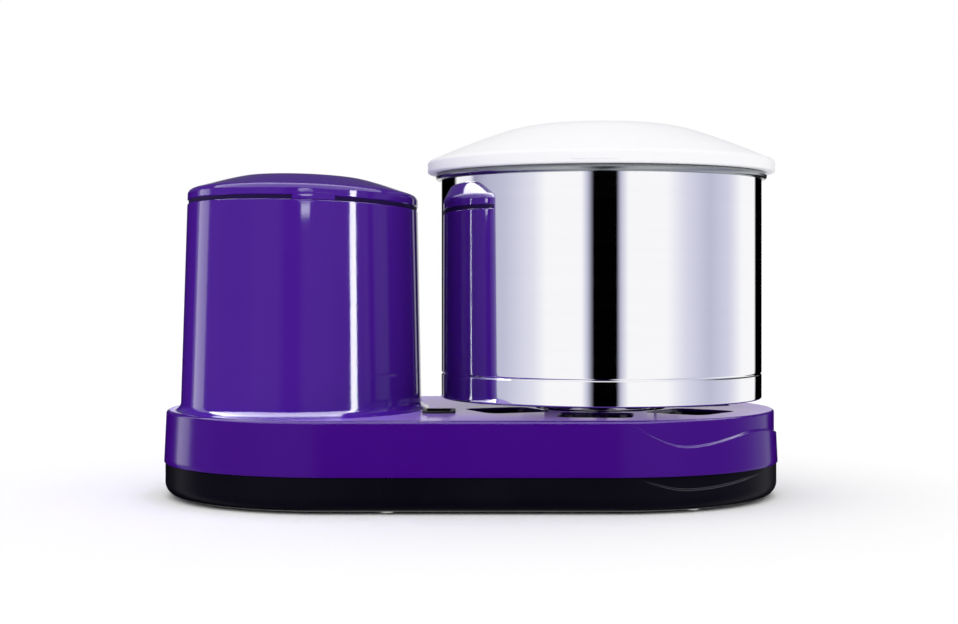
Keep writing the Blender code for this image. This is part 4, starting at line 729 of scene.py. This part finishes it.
def deckHeightAt(x, y):
    # x and y are from the drum's axis. Each hollow's depth fades from full to nothing over its wall's width,
    # by the signed distance to its outline, and the deepest one counts.
    plan = deckPlan
    reach = np.hypot(x, y)
    depth = plan["wellDepth"] * smoothStep((plan["wellRadius"] - reach) / plan["wallWidth"] + 0.5)
    near, far = plan["pocketReach"]
    corner = plan["pocketCorner"]
    for i in range(plan["pocketCount"]):
        turn = math.radians(plan["pocketTurn"] + 360 * i / plan["pocketCount"])
        along = x * math.cos(turn) + y * math.sin(turn)
        across = y * math.cos(turn) - x * math.sin(turn)
        out = np.abs(along - (near + far) / 2) - (far - near) / 2 + corner
        side = np.abs(across) - plan["pocketHalf"] + corner
        beyond = np.hypot(np.maximum(out, 0), np.maximum(side, 0))
        distance = beyond + np.minimum(np.maximum(out, side), 0) - corner
        depth = np.maximum(depth, plan["pocketDepth"] * smoothStep(0.5 - distance / plan["wallWidth"]))
    rise = plan["collarHeight"] * smoothStep((plan["holeRadius"] + plan["collarWidth"] - reach) / mm + 0.5)
    return shape["deck"] - depth + rise


def deckBoundary(angle):
    # Distance from the drum's axis to the stadium's outline, for each direction.
    radius = shape["endRadius"] - wave["draft"] - wave["edgeRound"] + deckPlan["overlap"]
    span = 2 * shape["drumX"]
    along, across = np.abs(np.cos(angle)), np.abs(np.sin(angle))
    side = radius / np.maximum(across, 1e-9)
    end = span * along + np.sqrt(np.maximum(radius**2 - (span * across) ** 2, 0))
    return np.where(np.cos(angle) < 0, np.where(side * along > span, end, side), radius)


def makeDeck():
    # Rings round the drum's axis, close at the hollows' walls, then shares of the way to the outline.
    # The underside has every second ring.
    plan = deckPlan
    angle = np.linspace(0, 2 * math.pi, plan["steps"], endpoint=False)[:, None]
    rings = plan["rings"]
    reach = [rings[0][0]]
    for (low, _), (high, step) in zip(rings, rings[1:]):
        count = max(1, round((high - low) / step))
        reach += list(np.linspace(low, high, count + 1)[1:])
    reach = np.array(reach)[None] * mm
    share = np.linspace(0, 1, plan["outerRings"] + 1)[None, 1:]
    outer = reach[:, -1:] + (deckBoundary(angle) - reach[:, -1:]) * share
    top = np.hstack([np.broadcast_to(reach, (len(angle), reach.shape[1])), outer])
    x, y = top * np.cos(angle), top * np.sin(angle)
    over = np.stack([x, y, deckHeightAt(x, y)], axis=-1)
    under = (over - (0, 0, plan["thickness"]))[:, ::-2]
    grid = np.concatenate([over, under, over[:, :1]], axis=1) + (shape["drumX"], 0, 0)
    data = meshFromGrid("housingDeck", grid, plan["sharpAngle"])
    cutSwitchOpening(data)
    return addPiece("housingDeck", data, "purpleDeckPaintedLight", "base")


def cutSwitchOpening(data):
    # Faces are split along the opening's four sides and left out inside it. Walls join top and underside.
    (x, y), (halfX, halfY) = deckPlan["switchPlace"], deckPlan["switchHalf"]
    bm = bmesh.new()
    bm.from_mesh(data)
    sides = [((x - halfX, y, 0), (1, 0, 0)), ((x + halfX, y, 0), (1, 0, 0))]
    sides += [((x, y - halfY, 0), (0, 1, 0)), ((x, y + halfY, 0), (0, 1, 0))]
    for place, normal in sides:
        near = {}
        for face in bm.faces:
            across = [v.co.x - x for v in face.verts]
            along = [v.co.y - y for v in face.verts]
            if min(across) < halfX and max(across) > -halfX and min(along) < halfY and max(along) > -halfY:
                near.update(dict.fromkeys([face, *face.edges, *face.verts]))
        bmesh.ops.bisect_plane(bm, geom=list(near), plane_co=place, plane_no=normal, dist=mergeDistance)
    inside = []
    for face in bm.faces:
        middle = face.calc_center_median()
        if abs(middle.x - x) < halfX and abs(middle.y - y) < halfY:
            inside.append(face)
    bmesh.ops.delete(bm, geom=inside, context="FACES")
    bmesh.ops.bridge_loops(bm, edges=[edge for edge in bm.edges if edge.is_boundary])
    bm.to_mesh(data)
    bm.free()
    data.set_sharp_from_angle(angle=math.radians(deckPlan["sharpAngle"]))


tower = {
    "halfWidth": 94 * mm,
    "halfDepth": 118 * mm,
    "draft": 4 * mm,
    "lean": 1 * mm,
    "footRound": 6 * mm,
    "top": 223 * mm,
    "topRound": 0.25 * mm,
    "innerRound": 0.4 * mm,
    "wall": 3 * mm,
    "seamFall": math.radians(1.3),
    "seamFrontRise": math.radians(1.5),
}
towerStretch = tower["halfDepth"] / tower["halfWidth"]
towerCentre = (shape["towerX"], 0)
seamCentre = np.array((shape["towerX"] + tower["lean"], 0, tower["top"]))
seamTurn = np.array(Euler((-tower["seamFrontRise"], tower["seamFall"], 0)).to_matrix())


def onSeam(grid):
    # Points measured from the seam's middle, with Z square to the seam, brought to their place.
    return grid @ seamTurn.T + seamCentre


def towerRadius(height):
    # The wall draws in evenly with its height.
    climb = (height - shape["deck"]) / (tower["top"] - shape["deck"])
    return tower["halfWidth"] - tower["draft"] * climb


def makeTower():
    # Section of the drafted wall with its rounded foot, carried round the oval. The higher, the more it
    # leans and tips towards the seam.
    deck, top, wall, footRound = shape["deck"], tower["top"], tower["wall"], tower["footRound"]
    footTop = deck + footRound
    foot, rim = towerRadius(footTop), towerRadius(top)
    levels = [*np.linspace(footTop, top - 6 * mm, 12)[1:], top - 3 * mm, top - 1.6 * mm]
    corners = [(foot + footRound, deck - mm, 0)]
    corners += [(*point, 0) for point in arcPoints(foot + footRound, footTop, footRound, 270, 180, 12)]
    corners += [(towerRadius(level), level, 0) for level in levels]
    corners += [(rim, top, tower["topRound"]), (rim - wall, top, tower["innerRound"])]
    corners += [(foot - wall, deck - mm, 0)]
    grid = turnedGrid(roundedProfile(corners), towerCentre, towerStretch)
    x, y, z = np.moveaxis(grid, -1, 0)
    x = x + tower["lean"] * (z - deck) / (top - deck)
    normal = seamTurn[:, 2]
    seamHeight = top - (normal[0] * (x - seamCentre[0]) + normal[1] * y) / normal[2]
    z = z + (seamHeight - top) * np.clip((z - footTop) / (top - footTop), 0, 1)
    grid = np.stack([x, y, z], axis=-1)
    return gridPiece("towerShell", grid, "purpleGloss", "base", sharpAngle=60)


def addShine(piece, *groups):
    # Puts the piece in the light of these groups' panels
    for group in groups:
        panelLit[group].objects.link(piece)


addShine(makeTower(), "tower", "body", "side")
addShine(makeSkirt(), "skirt", "side")
makeDeck()
print("housing: skirt, deck and tower")


# Cap of the tower: dome, band over the dark gap, spigot inside the tower, and the tab in the seam
cap = {
    "gap": 3.3 * mm,
    "band": 5.5 * mm,
    "edgeBreak": 0.6 * mm,
    "rise": 24.5 * mm,
    "wall": 2.5 * mm,
    "spigot": 9 * mm,
    "shadeInset": 0.9 * mm,
    "shoulder": [(1.0, 0.0), (0.985, 0.14), (0.955, 0.24), (0.60, 0.86), (0.46, 0.95), (0.24, 0.99)],
    "tabWidth": 30.5 * mm,
    "tabOffset": 18 * mm,
    "tabDepth": 5 * mm,
    "tabHeight": 5.7 * mm,
    "tabProud": 0.05 * mm,
    "tabRound": 0.5 * mm,
}
capRadius = towerRadius(tower["top"])
spigotRadius = capRadius - tower["wall"] - 3 * shape["clearance"]


def smoothThrough(points, steps=8):
    # Cubic pieces through the points, each tangent being the chord between the neighbours of its point.
    points = np.array(points, dtype=float)
    ends = np.vstack([2 * points[0] - points[1], points, 2 * points[-1] - points[-2]])
    made = []
    for i in range(len(points) - 1):
        a, b, c, d = ends[i : i + 4]
        chord = c - b
        length = np.linalg.norm(chord)
        first, last = unit(c - a) * length, unit(d - b) * length
        t = np.linspace(0, 1, steps, endpoint=False)[:, None]
        square, cube = 3 * chord - 2 * first - last, first + last - 2 * chord
        made.append(b + first * t + square * t**2 + cube * t**3)
    return np.vstack([*made, points[-1:]])


def domeProfile(radius, low, high, shares, steps=8):
    # From the rim to the axis. A mirrored point beyond the axis makes the crown level.
    points = [(radius * out, low + (high - low) * up) for out, up in shares]
    points += [(0, high), (-points[-1][0], points[-1][1])]
    return smoothThrough(points, steps)[:-steps]


def makeCap():
    # Outer dome, edge and spigot's inner side, then the inner dome, carried round the oval
    low, slight = cap["gap"], cap["edgeBreak"]
    foot, rise, wall = low + cap["band"], cap["rise"], cap["wall"]
    dome = domeProfile(capRadius, foot, rise, cap["shoulder"])
    inside = domeProfile(spigotRadius - wall, foot - wall, rise - wall, cap["shoulder"])
    side = [(capRadius, foot - mm), (capRadius, low + slight), (capRadius - slight, low)]
    profile = np.vstack([dome[::-1], side, [(spigotRadius - wall, low)], inside])
    grid = onSeam(turnedGrid(profile, stretch=towerStretch))
    return gridPiece("towerCap", grid, "purpleGloss", "base", ["tower_cap"])


def makeCapSpigot():
    # The collar inside the tower's rim, with a ledge over the rim. Both are painted dark as shade, which
    # shows as a dark line in the gap.
    outer, shade = spigotRadius, capRadius - cap["shadeInset"]
    high, low = cap["gap"] + 0.2 * mm, shape["clearance"]
    inner, bottom = outer - cap["wall"], -cap["spigot"]
    section = [(inner, bottom), (outer, bottom), (outer, low), (shade, low), (shade, high), (inner, high)]
    grid = onSeam(turnedGrid(np.array(section + section[:1]), stretch=towerStretch))
    return gridPiece("capSpigot", grid, "purpleGapPaintedShade", "base")


def makeCapTab():
    # A rounded block in the seam, bent along the oval: x runs across, y = -stretch * sqrt(reach^2 - x^2).
    inner, outer = capRadius - cap["tabDepth"], capRadius + cap["tabProud"]
    section = ring(inner, outer, shape["clearance"], cap["tabHeight"], cap["tabRound"])
    half = cap["tabWidth"] / 2
    across = np.concatenate([[-half], np.linspace(-half, half, 41), [half]])[:, None] + cap["tabOffset"]
    reach = np.sqrt(section[:, 0] ** 2 - across**2) * towerStretch
    across, height = np.broadcast_arrays(across, section[:, 1])
    grid = onSeam(closedEnds(np.stack([across, -reach, height], axis=-1)))
    return gridPiece("capTab", grid, "purpleGloss", "base", around=False)


def closedEnds(grid):
    # The first and last rows shrink to their middle, which closes a bar at both ends.
    grid[0], grid[-1] = grid[0].mean(axis=0), grid[-1].mean(axis=0)
    return grid


for piece in (makeCap(), makeCapTab()):
    addShine(piece, "tower", "side", "cap")
makeCapSpigot()
print("cap")


# Base pan: rounded bottom edge, and the crescent hand grips at the right end
pan = {
    "radius": 137 * mm,
    "bottom": 1.5 * mm,
    "edgeRound": 10 * mm,
    "floor": 3 * mm,
    "wall": 3.5 * mm,
    "gripStart": 7.0,
    "gripLowest": 24.0,
    "gripEnd": 62.0,
    "gripTop": 0.6 * mm,
    "gripDrop": 10.5 * mm,
    "gripDepth": 1.8 * mm,
    "slope": 0.9,
    "recess": 1.5 * mm,
    "screwHole": 2.4 * mm,
    "ventCount": 7,
    "ventWidth": 4 * mm,
    "ventPitch": 10 * mm,
    "ventField": 45 * mm,
    "ventShare": 0.8,
    "merge": 0.001 * mm,
}


def panProfile(degrees):
    # The grip's lower edge falls by a sine from the seam to its lowest and back.
    # Its depth fades at both tips.
    start, lowest, end = pan["gripStart"], pan["gripLowest"], pan["gripEnd"]
    share = (degrees - start) / (lowest - start) if degrees < lowest else (end - degrees) / (end - lowest)
    share = min(max(share, 0), 1)
    top, floorTop = shape["seam"], pan["bottom"] + pan["floor"]
    low = top - pan["gripTop"] - (pan["gripDrop"] - pan["gripTop"]) * math.sin(share * math.pi / 2)
    outer, corner, inside = pan["radius"], pan["edgeRound"], pan["radius"] - pan["wall"]
    inner = outer - pan["gripDepth"] * smoothStep(2 * share)
    foot = pan["bottom"] + corner
    arc = arcPoints(outer - corner, foot, corner, -90, 0, 14)
    wall = np.linspace((outer, foot + 0.2 * mm), (outer, low - 0.2 * mm), 4)
    upper = np.linspace((inner, low + pan["slope"] * (outer - inner) + 0.1 * mm), (inner, top), 4)
    bend = inside - outer + corner
    fillet = arcPoints(outer - corner, floorTop + bend, bend, 0, -90, 6)
    return np.vstack([arc, wall, stepRows(outer, inner, low, pan["slope"]), upper, [(inside, top)], fillet])


def slotLoop(x, y, halfWidth, halfLength):
    # Outline of a slot along Y with round ends
    end = arcPoints(0, halfLength - halfWidth, halfWidth, 0, 180, 8)
    return np.vstack([end, -end]) + (x, y)


def circleLoop(node, radius=None, steps=48):
    # Circle round the middle of a CAD node, as wide as its box and the clearance unless a radius is given
    low, high = np.array(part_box(node))
    x, y = (low + high)[:2] / 2
    radius = radius or (high - low)[0] / 2 + shape["clearance"]
    return arcPoints(x, y, radius, 0, 360, steps)[:-1]


def flatFace(outline, holes, height):
    # Triangles that fill the outline around the holes. A triangle inside a hole's loop is left out.
    loops = [outline, *holes]
    flat = [Vector(point) for loop in loops for point in loop]
    ends = np.cumsum([0] + [len(loop) for loop in loops])
    faces = [list(range(low, high)) for low, high in zip(ends, ends[1:])]
    points, _, triangles, _, _, sources = delaunay_2d_cdt(flat, [], faces, 1, mergeDistance)
    kept = [t for t, source in zip(triangles, sources) if set(source) == {0}]
    return [(*point, height) for point in points], kept


def wallFaces(loop, low, high):
    # Upright quads between the loop at two heights
    count = len(loop)
    points = [(*point, low) for point in loop] + [(*point, high) for point in loop]
    return points, [(i, (i + 1) % count, count + (i + 1) % count, count + i) for i in range(count)]


def panHoles():
    # Vent slots under the motor, and the four screws' holes
    through = []
    for i in range(pan["ventCount"]):
        offset = (i - (pan["ventCount"] - 1) / 2) * pan["ventPitch"]
        half = math.sqrt(pan["ventField"] ** 2 - offset**2) * pan["ventShare"]
        through.append(slotLoop(shape["towerX"] + offset, 0, pan["ventWidth"] / 2, half))
    return through + [circleLoop(f"pan_screw_{i}", pan["screwHole"], 24) for i in range(1, 5)]


def makePan():
    # The profile makes the wall. Both faces of the floor have the holes, the lower one the recesses too.
    grid = stadiumGrid(panProfile)
    data = meshFromGrid("panShell", grid, sharpAngle=50)
    low, high = pan["bottom"], pan["bottom"] + pan["floor"]
    through = panHoles()
    feet = [f"foot_{end}_{side}" for end in ("front", "back") for side in ("left", "right")]
    recesses = [circleLoop(foot) for foot in feet]
    top = low + pan["recess"]
    parts = [flatFace(grid[:, 0, :2], through + recesses, low), flatFace(grid[:, -1, :2], through, high)]
    parts += [wallFaces(loop, low, high) for loop in through]
    parts += [wallFaces(loop, low, top) for loop in recesses]
    parts += [flatFace(loop, [], top) for loop in recesses]
    bm = bmesh.new()
    bm.from_mesh(data)
    for points, faces in parts:
        made = [bm.verts.new(point) for point in points]
        for face in faces:
            bm.faces.new([made[i] for i in face])
    bm.to_mesh(data)
    bm.free()
    data = cleaned(data, sharpAngle=40, distance=pan["merge"])
    return addPiece("panShell", data, "blackGloss", "base", ["base_pan"])


addShine(makePan(), "body")
print("pan")


# Drum: rolled bead, mirror wall with a groove low down, rounded bottom corner, open inside
drum = {
    "wall": 1.2 * mm,
    "bottom": 74 * mm,
    "corner": 1.6 * mm,
    "edgeRise": 1.3 * mm,
    "footRadius": 60 * mm,
    "bead": 2.6 * mm,
    "grooveHeight": 95 * mm,
    "grooveDepth": 0.6 * mm,
    "grooveHalf": 1.3 * mm,
    "hole": 17.3 * mm,
    "bandRadius": 44.02 * mm,
    "bandWall": 0.4 * mm,
    "bandHeights": (63.7 * mm, 73.6 * mm),
}
drumCentre = (shape["drumX"], 0)


def makeDrum():
    # The bottom's outer part stands a little above the foot ring in its middle. The groove is a cosine.
    inside, wall = shape["drumInside"], drum["wall"]
    outside, top, groove = inside + wall, shape["drumTop"] - 2 * drum["bead"], drum["grooveHeight"]
    t = np.linspace(1, -1, 13)
    sunk = drum["grooveDepth"] * (0.5 + 0.5 * np.cos(math.pi * t))
    hollow = np.stack([outside - sunk, groove + t * drum["grooveHalf"]], axis=-1)
    wallRows = np.linspace((outside, top), (outside, groove + 4 * mm), 6)
    corner, low, foot = drum["corner"], drum["bottom"] + drum["edgeRise"], drum["footRadius"]
    outerCorner = arcPoints(outside - corner, low + corner, corner, 0, -90, 12)
    innerCorner = arcPoints(outside - corner, low + corner, corner - wall, -90, 0, 8)
    bottom = np.array([(foot + 3 * mm, low), (foot, low - drum["edgeRise"]), (drum["hole"], drum["bottom"])])
    rows = [wallRows, hollow, outerCorner, bottom, bottom[::-1] + (0, wall), innerCorner, [(inside, top)]]
    grid = turnedGrid(np.vstack([*rows, wallRows[:1]]), drumCentre)
    return gridPiece("drumShell", grid, "mirrorSteel", "drum", ["drum"], sharpAngle=60)


def makeDrumRim():
    # The wall's edge rolled outwards into a bead: a circle that starts inside and ends on the wall.
    inside, bead = shape["drumInside"], drum["bead"]
    top, outside = shape["drumTop"], inside + drum["wall"]
    meets = -math.degrees(math.acos((outside - inside - bead) / bead))
    rolled = arcPoints(inside + bead, top - bead, bead, 180, meets, 30)
    low = top - 2 * bead - 0.2 * mm
    grid = turnedGrid(np.vstack([rolled, [(outside, low), (inside, low)], rolled[:1]]), drumCentre)
    return gridPiece("drumRim", grid, "rimSteel", "drum", sharpAngle=60)


def makeCouplerBand():
    # A polished band round the coupler under the drum
    inner = drum["bandRadius"]
    section = ring(inner, inner + drum["bandWall"], *drum["bandHeights"], 0.1 * mm)
    grid = turnedGrid(section, drumCentre, steps=192)
    return gridPiece("couplerBand", grid, "mirrorSteel", "drum")


makeDrum()
makeDrumRim()
makeCouplerBand()
print("drum")


# Lid: white dome with a flange round it, a lip inside the drum's rim and a small tab at the front
lid = {
    "radius": 136 * mm,
    "wall": 2.5 * mm,
    "flange": 10.5 * mm,
    "top": 290 * mm,
    "lipDepth": 8 * mm,
    "lipGap": 1 * mm,
    "dome": [(0.965, 0.02), (0.82, 0.31), (0.66, 0.60), (0.52, 0.82), (0.40, 0.93), (0.22, 0.985)],
    "tabWidth": 34 * mm,
    "tabProud": 1 * mm,
    "tabRound": 0.6 * mm,
    "tabTurn": -5.5,
}


def makeLid():
    # Outer dome, rounded flange and lip, then the inner dome, carried round the drum's axis
    low, top, wall, radius = shape["drumTop"] + shape["clearance"], lid["top"], lid["wall"], lid["radius"]
    high = low + lid["flange"]
    lip, bottom = shape["drumInside"] - lid["lipGap"], shape["drumTop"] - lid["lipDepth"]
    dome = domeProfile(radius, high, top, lid["dome"])
    inside = domeProfile(radius, high - wall, top - wall, lid["dome"])
    inside = inside[inside[:, 0] < lip - wall - mm]
    corners = [
        (*dome[0], 0),
        (radius - 1.8 * mm, high - 0.6 * mm, 0),
        (radius, high - 2.4 * mm, 1.2 * mm),
        (radius, low, 1.6 * mm),
        (lip, low, 0.3 * mm),
        (lip, bottom, 0.6 * mm),
        (lip - wall, bottom, 0.6 * mm),
        (lip - wall, high - wall, 0),
    ]
    edge = roundedProfile(corners, closed=False)
    grid = turnedGrid(np.vstack([dome[::-1], edge[1:], inside]), drumCentre)
    return gridPiece("lidShell", grid, "lidWhite", "lid", ["lid"], sharpAngle=45)


def makeLidTab():
    # A rounded block on the flange's edge, bent round the drum's axis
    low = shape["drumTop"] + shape["clearance"] + lid["flange"] / 4
    radius, high = lid["radius"], low + lid["flange"] / 2
    section = ring(radius - lid["wall"], radius + lid["tabProud"], low, high, lid["tabRound"])
    half = lid["tabWidth"] / 2 / radius
    turns = np.linspace(-half, half, 41) + math.radians(lid["tabTurn"] - 90)
    angle = np.concatenate([turns[:1], turns, turns[-1:]])[:, None]
    x, height = np.broadcast_arrays(shape["drumX"] + section[:, 0] * np.cos(angle), section[:, 1])
    grid = closedEnds(np.stack([x, section[:, 0] * np.sin(angle), height], axis=-1))
    return gridPiece("lidTab", grid, "lidWhite", "lid", around=False)


makeLid()
makeLidTab()
print("lid")


# Switch: a black frame on the deck and a rocker with a hollow face, at rest with its front end up
switch = {
    "place": (*deckPlan["switchPlace"], 0),
    "opening": (9.2 * mm, 12.2 * mm),
    "corner": 1.2 * mm,
    "flange": 3.3 * mm,
    "flangeHeight": 1.5 * mm,
    "bodyWall": 1.5 * mm,
    "bodyDepth": 19 * mm,
    "tilt": math.radians(6),
    "endRise": 0.9 * mm,
    "middleRise": 0.2 * mm,
    "endFall": 0.5 * mm,
    "endShare": 0.07,
    "inset": 0.25 * mm,
    "depth": 5 * mm,
    "keelShare": 0.8,
}


def roundedLoop(halfX, halfY, corner, steps=8):
    # Places and outward directions round a rectangle whose corners are quarter circles
    places, outwards = [], []
    for i, (signX, signY) in enumerate(((1, 1), (-1, 1), (-1, -1), (1, -1))):
        ways = arcPoints(0, 0, 1, 90 * i, 90 * i + 90, steps)
        places.append((signX * (halfX - corner), signY * (halfY - corner)) + corner * ways)
        outwards.append(ways)
    return np.concatenate(places), np.concatenate(outwards)


def makeBezel():
    # The frame's section carried round the rounded opening, measured outwards from it
    low, bottom = shape["deck"] + shape["clearance"], shape["deck"] - switch["bodyDepth"]
    top, flange, wall = low + switch["flangeHeight"], switch["flange"], switch["bodyWall"]
    corners = [(0, bottom, 0), (0, top, 0.4 * mm), (flange, top, 0.6 * mm), (flange, low, 0)]
    corners += [(wall, low, 0), (wall, bottom, 0)]
    section = roundedProfile(corners)
    places, outwards = roundedLoop(*switch["opening"], switch["corner"])
    flat = places[:, None] + outwards[:, None] * section[None, :, :1]
    height = np.broadcast_to(section[:, 1], flat.shape[:2])
    grid = np.dstack([flat, height]) + switch["place"]
    return gridPiece("switchFrame", grid, "switchBlack", "base", ["switch_bezel"])


def makeRocker():
    # Its side outline, hollow on top by a parabola, carried along X and tipped about the pivot
    clear, endShare, tilt, inset = shape["clearance"], switch["endShare"], switch["tilt"], switch["inset"]
    half = switch["opening"][1] - 3 * clear
    share = np.linspace(-1, 1, 25)
    face = switch["middleRise"] + (switch["endRise"] - switch["middleRise"]) * share**2
    face = face - switch["endFall"] * np.clip((np.abs(share) - 1 + endShare) / endShare, 0, 1) ** 2
    upper = np.stack([half * share, face], axis=-1)
    keel = half * switch["keelShare"]
    outline = np.vstack([upper, [(keel, -switch["depth"]), (-keel, -switch["depth"])], upper[:1]])
    wide = switch["opening"][0] - clear
    across = np.array([-wide, -wide, -wide + inset, wide - inset, wide, wide])[:, None]
    shrink = np.array([1, 1, 0, 0, 1, 1])[:, None] * inset
    away = outline - outline.mean(axis=0)
    away = away / np.linalg.norm(away, axis=1, keepdims=True)
    u = outline[:, 0] - away[:, 0] * shrink
    v = outline[:, 1] - away[:, 1] * shrink
    y = u * math.cos(tilt) + v * math.sin(tilt)
    z = v * math.cos(tilt) - u * math.sin(tilt) + shape["deck"] + clear + switch["flangeHeight"]
    grid = closedEnds(np.dstack([np.broadcast_to(across, y.shape), y, z]) + switch["place"])
    hides = ["switch_rocker"]
    return gridPiece("rockerKey", grid, "switchBlack", "rocker", hides, around=False)


makeBezel()
makeRocker()
print("switch")
